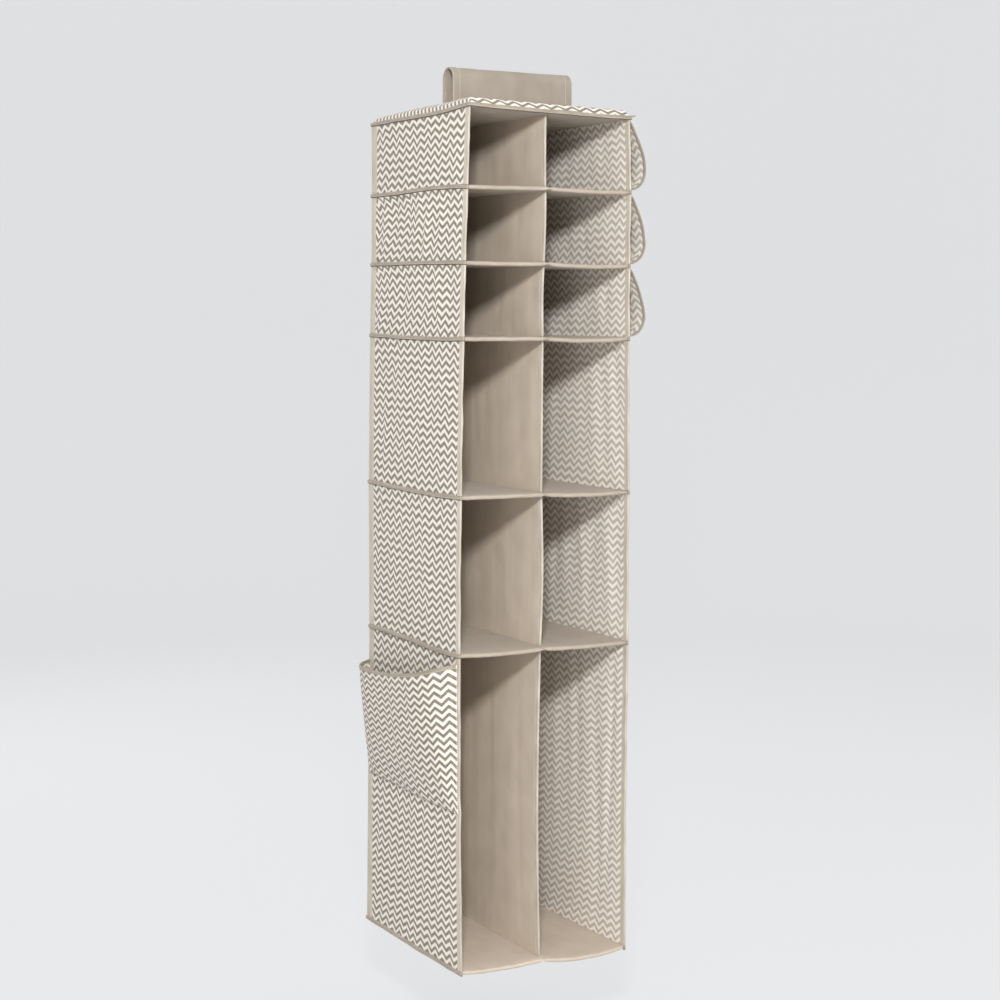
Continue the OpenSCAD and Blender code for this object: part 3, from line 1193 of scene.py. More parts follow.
@dataclass(frozen=True)
class Tier(Sewn):
    """Side walls, back, divider and edge tapes of one tier."""

    step: float = 4.5
    tape_step: float = 3.0
    nose_points: int = 7
    corner_points: int = 5
    stitch_in: float = 3.4
    print_spread: float = 100.0
    print_seed: int = 300
    print_drift: Drift = Drift(330, 75.0, 2.4)
    print_slant: float = 0.3
    back_print: float = 31.0
    divider_print: float = 53.0

    @property
    def heights(self) -> Array:
        """Heights of the rows of points in the tapes."""
        return spaced(*self.body.tapes(self.k), self.step)

    def grid(self, start: float, stop: float) -> list[Array]:
        """Grid of places from start to stop across a panel, and of heights from seam to seam, one per row."""
        (low, high), extra = self.body.panels(self.k), self.body.sewn_in
        return np.meshgrid(spaced(start, stop, self.step), spaced(low - extra, high + extra, self.step))

    def panel(self, name: str, skin: Skin, width: float, finish: Material, slot: Slot) -> None:
        """Builds a panel between the two seams of the tier.

        Args:
            name: Name of the panel without its tier.
            skin: Its surface.
            width: Width of its flat cut; not used.
            finish: Its material.
            slot: Its material slot; not used.
        """
        piece = self.hang(skin, f"{name}_cloth_{self.k}", finish, slot, f"{name}_{self.k}")
        upper = "top_cover" if self.k == 1 else f"shelf_cover_{self.k - 1}"
        self.body.tiers[self.k - 1]

    def side_wall(self, side: Side) -> None:
        """Builds a side wall: a plane at the side, moved outwards by its slack.

        Args:
            side: The wall's side.
        """
        body, slack, k, sign = self.body, self.slack, self.k, side.value
        y, z = self.grid(body.front_y + 2.0 * body.bind, body.back_y - body.bind)
        out, deep = slack.side(k, side, y, z), y + slack.tuck_in(k, y, z)
        high = z + slack.lift(k, sign * body.side_x, y, z)
        faces = (placed(sign * (body.side_x - t + out), deep, high) for t in (0.0, body.wall))
        taken = slack.folds(k, side).taken(y - body.front_y, body.up(k, z))
        shift = np.random.default_rng(self.print_seed + 2 * k + sign).uniform(0.0, self.print_spread, 2)
        drawn = self.print_drift.at(y + self.print_slant * z, 2 * k + sign)
        skin = Skin().layer(*faces, (placed(sign * (y + taken), z + drawn) + shift) * MM)
        self.panel(f"{side.name.lower()}_wall", skin, body.depth, self.finishes.chevron, Slot.CHEVRON)

    def back_wall(self) -> None:
        """Builds the back: a plane at the back, moved by its ripples."""
        body, slack, k = self.body, self.slack, self.k
        x, z = self.grid(-body.side_x, body.side_x)
        high, deep = z + slack.lift(k, x, body.back_y, z), body.back_y + slack.back(k, x, z)
        faces = (placed(x, deep - t, high) for t in (0.0, body.wall))
        skin = Skin().layer(*faces, placed(x + self.back_print * k, z) * MM)
        self.panel("back_wall", skin, body.width, self.finishes.plain, Slot.PLAIN)

    def divider(self) -> None:
        """Builds the divider: the middle plane, moved by its bow and ripples."""
        body, slack, k = self.body, self.slack, self.k
        y, z = self.grid(body.front_y + body.divider_setback + 2.0 * body.bind, body.back_y - body.wall)
        high, shift = z + slack.lift(k, 0.0, y, z), slack.divider(k, y, z)
        faces = (placed(shift + t, y, high) for t in (body.wall / 2.0, -body.wall / 2.0))
        skin = Skin().layer(*faces, placed(y + self.divider_print * k, z) * MM)
        self.panel("divider", skin, body.depth - body.divider_setback, self.finishes.plain, Slot.PLAIN)

    def folded_tape(self, skin: Skin, seams: Skin, front: float, middle: float, shift: Shift) -> None:
        """Adds the tape folded round an upright front edge, and its two rows of stitches.

        The plan is two straight legs joined by a half circle, carried up the edge with the panel's slack.

        Args:
            skin: Tapes of the tier.
            seams: Stitches of the tier.
            front: Y of the tape's nose.
            middle: X of the panel's middle plane.
            shift: Gives the panel's shift along X at a place and height.
        """
        body, half = self.body, self.body.wall / 2.0
        nose = front + half + body.bind
        legs = spaced(front + body.front_tape, nose, self.tape_step)
        faces = []
        for r in (half + body.bind, half):
            bend = arc((0.0, nose), r, -180.0, 0.0, self.nose_points)[1:-1]
            plan = np.concatenate([placed(-r, legs), bend, placed(r, legs[::-1])])
            faces.append(self.hung(plan, middle, shift))
        skin.layer(*faces, cloth_grid(run_length(plan), self.heights))
        for sign in (-1.0, 1.0):
            row = np.array([[sign * (half + body.bind), front + body.front_tape - self.stitch_in]])
            seams.stitches(self.hung(row, middle, shift)[:, 0], np.array([sign, 0.0, 0.0]))

    def hung(self, plan: Array, middle: float, shift: Shift) -> Array:
        """Carries a plan up the tier with the slack of the panel that it is sewn to.

        Args:
            plan: X from the panel's middle plane, and Y, of each point.
            middle: X of that plane, which is 0 for the divider.
            shift: Gives the panel's shift along X at a place and height.

        Returns:
            Grid of points, with heights along the rows.
        """
        y, z = np.meshgrid(plan[:, 1], self.heights)
        deep = y + self.slack.tuck_in(self.k, y, z) if middle else y
        return placed(middle + plan[:, 0] + shift(y, z), deep, z + self.slack.lift(self.k, middle, y, z))

    def corner_tape(self, skin: Skin, seams: Skin, side: Side) -> None:
        """Adds the tape folded round a back corner: two legs square to each other, joined by a small arc.

        Args:
            skin: Tapes of the tier.
            seams: Stitches of the tier.
            side: Side of the corner.
        """
        body = self.body
        x, y, reach = body.side_x, body.back_y, body.corner_tape - self.stitch_in
        side_leg = spaced(y - body.corner_tape, y, self.tape_step)
        back_leg = spaced(x, x - body.corner_tape, self.tape_step)
        faces = []
        for out in (body.bind, 0.0):
            bend = arc((x, y), out, 0.0, 90.0, self.corner_points)[1:-1]
            plan = np.concatenate([placed(x + out, side_leg), bend, placed(back_leg, y + out)])
            faces.append(self.cornered(plan, side, len(side_leg)))
        skin.layer(*faces, cloth_grid(run_length(plan), self.heights))
        on_side, on_back = np.array([[x + body.bind, y - reach]]), np.array([[x - reach, y + body.bind]])
        seams.stitches(self.cornered(on_side, side, 1)[:, 0], np.array([side.value, 0.0, 0.0]))
        seams.stitches(self.cornered(on_back, side, 0)[:, 0], np.array([0.0, 1.0, 0.0]))

    def cornered(self, plan: Array, side: Side, on_side: int) -> Array:
        """Carries a corner's plan up the tier: the first points follow the side wall, the rest the back.

        Args:
            plan: X and Y of each point at the right corner.
            side: Side of the corner.
            on_side: Number of points on the side wall.

        Returns:
            Grid of points, with heights along the rows.
        """
        slack, k, sign = self.slack, self.k, side.value
        x, z = np.meshgrid(plan[:, 0], self.heights)
        y = np.broadcast_to(plan[:, 1], x.shape)
        first = np.arange(len(plan)) < on_side
        out = np.where(first, slack.side(k, side, y, z), 0.0)
        deep = np.where(first, 0.0, slack.back(k, sign * x, z))
        return placed(sign * (x + out), y + deep, z + slack.lift(k, sign * x, y, z))

    def side_shift(self, side: Side, y: Array, z: Array) -> Array:
        """Shift of a side wall along X."""
        return side.value * self.slack.side(self.k, side, y, z)

    def edge_tapes(self) -> None:
        """Builds the five tapes on the upright edges, with their stitches."""
        body, k = self.body, self.k
        tapes, seams = Skin(), Skin()
        for side in Side:
            middle = side.value * (body.side_x - body.wall / 2.0)
            self.folded_tape(tapes, seams, body.front_y, middle, partial(self.side_shift, side))
            self.corner_tape(tapes, seams, side)
        front = body.front_y + body.divider_setback
        self.folded_tape(tapes, seams, front, 0.0, partial(self.slack.divider, k))
        piece = self.hang(tapes, f"edge_tapes_{k}", self.finishes.tape, Slot.TAPE, f"edge_binding_{k}")
        (foot, top), walls = body.tapes(k), (f"left_wall_{k}", f"right_wall_{k}", f"divider_{k}")
        top - foot
        self.hang(seams, f"edge_stitches_{k}", self.finishes.thread, Slot.TAPE)

    def build(self) -> None:
        """Builds every piece of the tier."""
        for side in Side:
            self.side_wall(side)
        self.back_wall()
        self.divider()
        self.edge_tapes()


@dataclass(frozen=True)
class Roll:
    """Binding tape rolled over a sewn edge: a rounded section carried along a plan path."""

    k: int
    body: Body
    slack: Slack
    step: float = 7.0
    side_step: float = 4.0
    end_step: float = 1.0
    turn_points: int = 6
    nose_points: int = 9
    flat_run: float = 12.0
    flat_out: float = 0.9
    flat_extra: float = 0.15
    swell: float = 7.0
    front_points: int = 11
    rear_shares: Row = (0.86, 0.3, -0.3, -0.86, -0.95)
    buried: float = -0.35
    cloth_half: float = 12.0
    square: int = 3
    stitch_at: float = -0.45
    stitch_from: float = 0.9
    seed_step: int = 10
    thick_drift: Drift = Drift(500, 90.0, 0.13)
    tall_drift: Drift = Drift(501, 120.0, 0.1)
    line_drift: Drift = Drift(502, 150.0, 0.6)

    def straight(self, x: Places, y: Places, *out: float) -> Stretch:
        """Base points of a straight stretch, and its outward direction at each of them."""
        base = placed(x, y)
        return base, np.broadcast_to(out, base.shape)

    def turned(self, centre: Row, radius: float, start: float, stop: float, count: int) -> Stretch:
        """Base points of a bend without its two ends, and the outward directions from its centre."""
        out = arc((0.0, 0.0), 1.0, start, stop, count)[1:-1]
        return np.array(centre) + radius * out, out

    def half_path(self, closed: bool) -> tuple[Array, Array, Array]:
        """Right half of the path, from the middle of the back round the corner to the front.

        An open tape lies flat over the last stretch of the side, turns round the front edge and ends inside
        it. A closed one keeps its thickness and runs on to the middle of the front.

        Args:
            closed: True where the tape goes round all four sides.

        Returns:
            Base points in plan, outward directions in plan, and the tape's thickness.
        """
        body, r = self.body, self.body.wall / 2.0
        side, front, back, nose = body.side_x, body.front_y, body.back_y, body.front_y + r + body.bind
        across = spaced(0.0, side, self.step)
        stretches = [
            self.straight(across, back, 0.0, 1.0),
            self.turned((side, back), 0.0, 90.0, 0.0, self.turn_points),
        ]
        if closed:
            stretches += [
                self.straight(side, spaced(back, front, self.step), 1.0, 0.0),
                self.turned((side, front), 0.0, 0.0, -90.0, self.turn_points),
                self.straight(across[::-1], front, 0.0, -1.0),
            ]
        else:
            inner = spaced(nose, front + body.shelf_setback - body.seam_gap, self.end_step)
            stretches += [
                self.straight(side, spaced(back, nose, self.side_step), 1.0, 0.0),
                self.turned((side - r, nose), r, 0.0, -180.0, self.nose_points),
                self.straight(side - body.wall, inner, -1.0, 0.0),
            ]
        base, out = (np.concatenate(part) for part in zip(*stretches))
        swell = 1.0 if closed else smooth((base[:, 1] - front - self.flat_run) / self.swell)
        return base, out, np.broadcast_to(self.flat_out + (body.roll_out - self.flat_out) * swell, len(base))

    def path(self, closed: bool) -> tuple[Array, ...]:
        """Whole path: its right half and the mirrored left half.

        Args:
            closed: True where both halves also meet at the front.

        Returns:
            The same as of the half path: from the front left to the front right, or round from the back.
        """
        base, out, thick = self.half_path(closed)
        flip = np.array([-1.0, 1.0])
        left = slice(-2, 0, -1) if closed else slice(None, 0, -1)
        halves = [(base, base[left] * flip), (out, out[left] * flip), (thick, thick[left])]
        return tuple(np.concatenate(pair if closed else pair[::-1]) for pair in halves)

    def section(self, closed: bool) -> tuple[Array, Array, Array]:
        """Carries the rolled section along its path.

        At a share q of the half height the roll stands out by its thickness times (1 - |q|^square)^0.5. Slow
        drifts vary the thickness, the height and the line of the tape, as hand-fed binding does.

        Args:
            closed: True where the tape goes round all four sides.

        Returns:
            Rings of points, their places on the tape, and the stitch line on the roll.
        """
        body, k, q = self.body, self.k, self.stitch_at
        base, out, thick = self.path(closed)
        walked = run_length(base + 0.5 * out)
        rolled = held((thick - self.flat_out) / (body.roll_out - self.flat_out))
        drifts = (self.thick_drift, self.tall_drift, self.line_drift)
        thicker, taller, higher = (rolled * drift.at(walked, self.seed_step * k) for drift in drifts)
        stand = thick * (1.0 + thicker)
        half = 0.5 * body.roll_height * (1.0 + taller) + self.flat_extra * (1.0 - rolled)
        rise = body.seam_z(k) + higher + self.slack.seam(k, *base.T)
        share = np.concatenate([np.linspace(-1.0, 1.0, self.front_points), self.rear_shares])
        front = np.arange(len(share)) < self.front_points
        reach = np.where(front, np.sqrt(1.0 - np.abs(share) ** self.square), 0.0)
        far = stand[:, None] * reach + np.where(front, 0.0, self.buried)
        plan = base[:, None] + out[:, None] * far[..., None]
        rings = placed(plan[..., 0], plan[..., 1], rise[:, None] + half[:, None] * share)
        row = base + out * (stand * math.sqrt(1.0 - abs(q) ** self.square))[:, None]
        stitch = placed(*row.T, rise + half * q)[rolled > self.stitch_from]
        return rings, placed(share * self.cloth_half, walked[:, None]) * MM, stitch


@dataclass(frozen=True)
class Shelf(Sewn):
    """Board case at a seam, its two boards, and the tape rolled round its sewn edges."""

    step: float = 5.0
    fine: Pair = (16.0, 2.0)
    nose_points: int = 11
    hem_pinch: Pair = (0.35, 0.3)
    split_pinch: Pair = (0.25, 0.35)
    most_pinch: float = 0.6
    split_slope: float = 3.0
    pull_run: float = 9.0
    crease: Drift = Drift(800, 60.0, 0.35)
    crease_slant: float = 0.3
    crease_reach: float = 0.2
    cloth_shift: float = 40.0
    board_step: float = 8.0
    board_fill: float = 0.97

    @property
    def nose_y(self) -> float:
        """Y of the middle of the rounded front edge."""
        return self.body.front_y + self.body.shelf_setback + self.body.shelf / 2.0

    @property
    def last(self) -> bool:
        """True for the bottom."""
        return self.k == self.body.count

    def named(self, what: str, group: str = "shelf") -> str:
        """Name of a thing at this seam: of the bottom, or of its group with the seam's number."""
        return f"bottom_{what}" if self.last else f"{group}_{what}_{self.k}"

    def plumpness(self, x: Array, y: Array) -> Array:
        """Share of the full thickness: less in the hems, between the boards and before the divider.

        Args:
            x: Places across the body.
            y: Places from front to back.

        Returns:
            The share.
        """
        body = self.body
        hem_x = 1.0 - smooth((body.side_x - np.abs(x)) / body.hem)
        hem_y = 1.0 - smooth((body.back_y - y) / body.hem)
        split = 1.0 - smooth(np.abs(x) / (body.board_split / 2.0 + self.split_slope))
        pulled = 1.0 - smooth((y - body.front_y - body.divider_setback + self.split_slope) / self.pull_run)
        hems = self.hem_pinch[0] * hem_x + self.hem_pinch[1] * hem_y
        pinch = hems + split * (self.split_pinch[0] + self.split_pinch[1] * pulled)
        return 1.0 - np.clip(pinch, 0.0, self.most_pinch)

    def cover(self) -> None:
        """Builds the case: one cloth from the back over the boards, round the front and back underneath."""
        body, k, (fine, fine_step) = self.body, self.k, self.fine
        lines = (spaced(-body.side_x, body.side_x, self.step), spaced(-fine, fine, fine_step))
        across = np.unique(np.concatenate(lines))
        flat = spaced(body.back_y, self.nose_y, self.step)
        faces = []
        for r in (body.shelf / 2.0, body.shelf / 2.0 - body.cover):
            bend = arc((self.nose_y, 0.0), r, 90.0, 270.0, self.nose_points)[1:-1]
            section = np.concatenate([placed(flat, r), bend, placed(flat[::-1], -r)])
            x, y = np.meshgrid(across, section[:, 0])
            fade = 1.0 - smooth(body.back_share(y) / self.crease_reach)
            crease = self.crease.at(x + self.crease_slant * y, k) * fade
            high = section[:, 1:] * self.plumpness(x, y) + self.slack.seam(k, x, y) + crease
            faces.append(placed(x, y, body.seam_z(k) + high))
        walked = run_length(section)
        finish = self.finishes.plain if self.last else self.finishes.lining
        skin = Skin().layer(*faces, cloth_grid(across + self.cloth_shift * k, walked))
        case = skin.build(self.named("case"), finish)
        piece = settle(case, body.seam_body(k), (self.named("cover"),))
        body.width
        self.named("boards")

    def boards(self) -> None:
        """Builds the two boards: flat plates bent with the sag of their cells."""
        body, skin = self.body, Skin()
        half = self.board_fill * body.board / 2.0
        inner, outer = body.board_split / 2.0 + body.play, body.side_x - body.hem - body.play
        deep = spaced(self.nose_y + body.play, body.back_y - body.hem - body.play, self.board_step)
        for side in Side:
            x, y = np.meshgrid(side.value * spaced(inner, outer, self.board_step), deep)
            middle = body.seam_z(self.k) + self.slack.seam(self.k, x, y)
            skin.layer(placed(x, y, middle + half), placed(x, y, middle - half), placed(x, y) * MM)
        piece = skin.build(self.named("plates"), self.finishes.board)
        settle(piece, body.seam_body(self.k), (self.named("boards"),))

    def tape(self) -> None:
        """Builds the rolled tape along both sides and the back, with its stitches."""
        rings, cloth, stitch = Roll(self.k, self.body, self.slack).section(closed=False)
        tag, carrier = "bottom" if self.last else f"seam_{self.k}", self.body.seam_body(self.k)
        piece = Skin().tube(rings, cloth).build(f"{tag}_tape", self.finishes.seam)
        settle(piece, carrier, (self.named("binding", "seam"),))
        step = np.gradient(stitch, axis=0)
        away = placed(step[:, 1], -step[:, 0], 0.0)
        outward = away * np.sign((away * stitch).sum(1, keepdims=True))
        thread = Skin().stitches(stitch, outward).build(f"{tag}_stitches", self.finishes.thread)
        settle(thread, carrier)

    def build(self) -> None:
        """Builds every piece of the shelf."""
        self.cover()
        self.boards()
        self.tape()


@dataclass(frozen=True)
class Top(Sewn):
    """Domed top with its print, lining, board and tape, whose cut end sticks out at a front corner."""

    rise: float = 16.0
    plateau_x: float = 118.5
    plateau_front: float = -39.5
    plateau_back: float = 24.5
    brim_rise: float = 8.0
    brim_run: float = 10.0
    brim_step: float = 1.0
    brim_clear: float = 1.3
    step: float = 5.0
    gather: Drift = Drift(61, 34.0, 0.8)
    gather_reach: float = 22.0
    gather_start: float = 6.0
    lining_inset: float = 0.4
    tail_rings: int = 6
    tail_sides: int = 8
    tail_from: Row = (1.0, -1.2, 2.2)
    tail_run: Row = (9.5, -1.5, 1.2)
    tail_half: Pair = (1.53, 2.0)
    tail_taper: float = 0.85
    tail_cloth: float = 8.0

    def insets(self, x: Array, y: Array) -> tuple[Array, Array, Array]:
        """Distances from the nearer side, the front and the back."""
        return self.body.side_x - np.abs(x), y - self.body.front_y, self.body.back_y - y

    def dome(self, x: Array, y: Array) -> Array:
        """Height over the edge: a padded roll of quick eases, and a dome of slow ones, level at the strap.

        Args:
            x: Places across the body.
            y: Places from front to back.

        Returns:
            The heights.
        """
        body, (side_in, front_in, back_in) = self.body, self.insets(x, y)
        across = ease(side_in / (body.side_x - self.plateau_x))
        front = ease(front_in / (self.plateau_front - body.front_y))
        back = ease(back_in / (body.back_y - self.plateau_back))
        brim = ease(side_in / self.brim_run) * ease(np.minimum(front_in, back_in) / self.brim_run)
        return self.brim_rise * brim + (self.rise - self.brim_rise) * across * np.where(y < 0, front, back)

    def grid(self, inset: float) -> list[Array]:
        """Grid over the top, with close lines near its edges.

        Args:
            inset: Distance from its edges.

        Returns:
            X and Y of the points.
        """
        body = self.body
        near = np.concatenate([spaced(0.0, self.brim_run, self.brim_step), [self.brim_clear * self.brim_run]])
        ends = ((inset - body.side_x, body.side_x - inset), (body.front_y + inset, body.back_y - inset))
        rows = (spaced(a + near[-1], b - near[-1], self.step) for a, b in ends)
        lines = (np.concatenate([a + near, row, b - near]) for (a, b), row in zip(ends, rows))
        return np.meshgrid(*(np.unique(line) for line in lines))

    def sheet(self, name: str, skin: Skin, finish: Material, slot: Slot) -> None:
        """Builds one of the two cloths on either face of the board, on the top body."""
        cloth = settle(skin.build(name, finish), "top", ("top_cover",))
        self.body.width

    def cover(self) -> None:
        """Builds the printed cloth: the dome, with small gathers that die out away from the sewn edge."""
        x, y = self.grid(0.0)
        edge = np.minimum.reduce(self.insets(x, y))
        gather = self.gather.at(x + y) * np.exp(-edge / self.gather_reach) * smooth(edge / self.gather_start)
        z = self.dome(x, y) - self.body.rod_rise + gather
        skin = Skin().layer(placed(x, y, z), placed(x, y, z - self.body.cover), self.walked(x, y))
        self.sheet("top_print", skin, self.finishes.chevron, Slot.CHEVRON)

    def walked(self, x: Array, y: Array) -> Array:
        """Places on the print: the plan, drawn out over the roll by the height that the cloth climbs there.

        Args:
            x: Places across the body.
            y: Places from front to back.

        Returns:
            The places in metres.
        """
        side_in, front_in, back_in = self.insets(x, y)
        side, ends = (1.0 - ease(inset / self.brim_run) for inset in (side_in, np.minimum(front_in, back_in)))
        signs = np.sign(x), np.sign(front_in - back_in)
        return placed(x + signs[0] * self.brim_rise * side, y + signs[1] * self.brim_rise * ends) * MM

    def lining(self) -> None:
        """Builds the plain cloth under the board, which hangs a little in each cell."""
        x, y = self.grid(self.lining_inset)
        z = self.body.panels(1)[1] + self.slack.seam(0, x, y)
        skin = Skin().layer(placed(x, y, z + self.body.cover), placed(x, y, z), placed(x, y) * MM)
        self.sheet("top_lining", skin, self.finishes.lining, Slot.PLAIN)

    def board(self) -> None:
        """Builds the board: a flat plate between the two cloths."""
        low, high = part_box("top_board")
        x, y = self.grid(self.body.hem + self.body.play)
        skin = Skin().layer(placed(x, y, high.z / MM), placed(x, y, low.z / MM), placed(x, y) * MM)
        settle(skin.build("top_plate", self.finishes.board), "top", ("top_board",))

    def tail(self) -> tuple[Array, Array]:
        """Cut end of the tape: rings that shrink along a straight line.

        Returns:
            The rings, and their places on the tape.
        """
        body, (wide, tall) = self.body, self.tail_half
        along = np.linspace(0.0, 1.0, self.tail_rings)[:, None]
        turn = np.arange(self.tail_sides) * 2.0 * np.pi / self.tail_sides
        slim = 1.0 - self.tail_taper * along
        start = np.array([body.side_x, body.front_y, body.seam_z(0)]) + self.tail_from
        x, y, z = (a + b * along for a, b in zip(start, self.tail_run))
        rings = placed(x, y + wide * slim * np.cos(turn), z + tall * slim * np.sin(turn))
        return rings, placed(along * self.tail_cloth, turn) * MM

    def tape(self) -> None:
        """Builds the rolled tape round the top, with its stitches."""
        body = self.body
        rings, cloth, stitch = Roll(0, body, self.slack).section(closed=True)
        skin = Skin().tube(rings, cloth, closed=True).tube(*self.tail())
        settle(skin.build("top_tape", self.finishes.seam), "top", ("top_binding",))
        centre = np.array([0.0, body.front_y + body.depth / 2.0, 0.0])
        outward = (stitch - centre) * np.array([1.0, body.width / body.depth, 0.0])
        level = np.where(np.abs(outward).max(1, keepdims=True) == np.abs(outward), np.sign(outward), 0.0)
        settle(Skin().stitches(stitch, level).build("top_stitches", self.finishes.thread), "top")

    def build(self) -> None:
        """Builds every piece of the top."""
        self.cover()
        self.lining()
        self.board()
        self.tape()


@dataclass(frozen=True)
class Strap:
    """Wide strap that wraps the rod, the tab it closes on, and the closing tapes between them."""

    finishes: Finishes
    width: float = 225.0
    thick: float = 2.0
    rod_radius: float = 16.5
    foot: float = 15.0
    base_z: float = -42.0
    flap_end: float = -38.0
    bend: float = 3.0
    bend_points: int = 6
    loop_points: int = 33
    step: float = 3.0
    flap_step: float = 2.0
    cross_step: float = 5.0
    edge_lines: Row = (1.0, 12.5, 14.5)
    edge_thin: float = 0.55
    edge_round: float = 1.2
    hem_width: float = 12.5
    hem_slope: float = 2.0
    hem_extra: float = 0.5
    hem_in: Pair = (2.5, 11.5)
    hem_stitch: Stitch = Stitch(thick=0.45)
    drift: Drift = Drift(0, 85.0, 0.35)
    drift_slant: float = 0.4
    drift_from: float = 30.0
    strap_seed: int = 31
    tab_seed: int = 47
    cross_row: int = 2
    cross_inset: int = 2
    bend_from: Row = (0.0, 8.8, -6.6)
    bend_to: Row = (0.0, 18.4, -13.8)
    pad_steps: Pair = (3.0, 1.5)
    pad_thin: float = 0.45
    pad_square: tuple[int, int] = (14, 6)

    def upstand(self, start: float, y: float, low: float, top: float) -> Array:
        """Side line of a foot that turns up through a small bend.

        Args:
            start: Y of the foot's end.
            y: Y of the upright.
            low: Height of the foot.
            top: Upper end of the upright.

        Returns:
            Y and Z of its points.
        """
        inner, above = y - self.bend, low + self.bend
        corner = arc((inner, above), self.bend, -90.0, 0.0, self.bend_points)[1:-1]
        foot, upright = spaced(start, inner, self.step), spaced(above, top, self.step)
        return np.concatenate([placed(foot, low), corner, placed(y, upright)])

    def side_line(self) -> Array:
        """Middle line seen from the side: foot, bend, front leg, half circle over the rod, and back flap.

        Returns:
            Y and Z of its points.
        """
        half = self.thick / 2.0
        radius = self.rod_radius + half
        return np.concatenate([
            self.upstand(-radius - half - self.foot, -radius, self.base_z + half, 0.0),
            arc((0.0, 0.0), radius, 180.0, 0.0, self.loop_points)[1:-1],
            placed(radius, spaced(0.0, self.flap_end, self.flap_step)),
        ])

    def swept(self, line: Array, hemmed: float, seed: int) -> tuple[Skin, Array]:
        """Carries a side line across the width as a thick sheet, with thin edges and thicker hems.

        Args:
            line: Y and Z of the middle line.
            hemmed: Extra thickness of the hems.
            seed: Draws the drift of the cloth.

        Returns:
            The sheet, and the grid of points on its left face, seen along the line.
        """
        side = self.width / 2.0
        close = [sign * (side - inset) for sign in (-1.0, 1.0) for inset in self.edge_lines]
        across = np.unique(np.concatenate([spaced(-side, side, self.cross_step), close]))
        edge, walked, normal = side - np.abs(across), run_length(line), normals_of(line)
        rounded = self.edge_thin + (1.0 - self.edge_thin) * smooth(edge / self.edge_round)
        hem = hemmed * (1.0 - smooth((edge - self.hem_width) / self.hem_slope))
        half = self.thick / 2.0 * rounded + hem
        along = walked[:, None]
        drift = self.drift.at(across + self.drift_slant * along, seed) * smooth(along / self.drift_from)
        faces = []
        for sign in (1.0, -1.0):
            moved = line[:, None] + normal[:, None] * (sign * half + drift)[..., None]
            faces.append(placed(across, moved[..., 0], moved[..., 1]))
        return Skin().layer(*faces, cloth_grid(across, walked)), faces[0]

    def hem_rows(self, face: Array, *cross: int) -> Skin:
        """Stitches along both hems and across chosen rows of a face.

        Args:
            face: Grid of points on the face.
            cross: Rows that are sewn across.

        Returns:
            The stitches.
        """
        away = np.cross(np.gradient(face, axis=1), np.gradient(face, axis=0))
        away *= np.sign((away[-1, :, 1]).sum())
        skin = Skin()
        for x in (sign * (self.width / 2.0 - hem) for sign in (-1.0, 1.0) for hem in self.hem_in):
            column = int(np.abs(face[0, :, 0] - x).argmin())
            skin.stitches(face[:, column], away[:, column], self.hem_stitch)
        inner = slice(self.cross_inset, -self.cross_inset)
        for row in cross:
            skin.stitches(face[row, inner], away[row, inner])
        return skin

    def strap(self) -> None:
        """Builds the strap in one cloth, and its hem stitches."""
        line = self.side_line()
        skin, face = self.swept(line, self.hem_extra, self.strap_seed)
        piece = skin.build("rod_strap", self.finishes.strap)
        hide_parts("hanging_strap", "strap_flap")
        self.width
        rows = self.hem_rows(face, self.cross_row, len(line) - 1 - self.cross_row)
        thread = rows.build("strap_stitches", self.finishes.thread)
        start, end = (tuple(c * MM for c in point) for point in (self.bend_from, self.bend_to))
        for soft in (piece, thread):
            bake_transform(soft)
            log.info("%s: %d faces, bent with the flap", soft.name, len(soft.data.polygons))

    def tab(self) -> None:
        """Builds the tab behind the rod: a foot on the top, a small bend and an upstand."""
        low, high = (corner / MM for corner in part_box("strap_tab"))
        half = self.thick / 2.0
        line = self.upstand(low.y, high.y - half, low.z + half, high.z)
        skin, face = self.swept(line, 0.0, self.tab_seed)
        piece = settle(skin.build("closing_tab", self.finishes.strap), "top", ("strap_tab",))
        self.width
        thread = self.hem_rows(face, self.cross_row).build("tab_stitches", self.finishes.thread)
        settle(thread, "top")

    def closing_tape(self, node: str, name: str, body: str, finish: Material) -> None:
        """Builds a closing tape: a thin pad whose edges are rounded by 1 - |u|^square across and up.

        Args:
            node: CAD node that it stands for.
            name: Name of the piece.
            body: CAD body that carries it.
            finish: Its material.
        """
        low, high = (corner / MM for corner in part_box(node))
        x, z = np.meshgrid(spaced(low.x, high.x, self.pad_steps[0]), spaced(low.z, high.z, self.pad_steps[1]))
        across = np.abs(2.0 * (x - low.x) / (high.x - low.x) - 1.0)
        up = np.abs(2.0 * (z - low.z) / (high.z - low.z) - 1.0)
        rounded = np.sqrt((1.0 - across ** self.pad_square[0]) * (1.0 - up ** self.pad_square[1]))
        half = 0.5 * (high.y - low.y) * (self.pad_thin + (1.0 - self.pad_thin) * rounded)
        middle = 0.5 * (high.y + low.y)
        skin = Skin().layer(placed(x, middle + half, z), placed(x, middle - half, z), placed(x, z) * MM)
        settle(skin.build(name, finish), body, (node,))

    def build(self) -> None:
        """Builds every piece of the strap."""
        self.strap()
        self.tab()
        self.closing_tape("hook_tape", "hook_pad", "strap_flap", self.finishes.hook)
        self.closing_tape("loop_tape", "loop_pad", "top", self.finishes.loop)


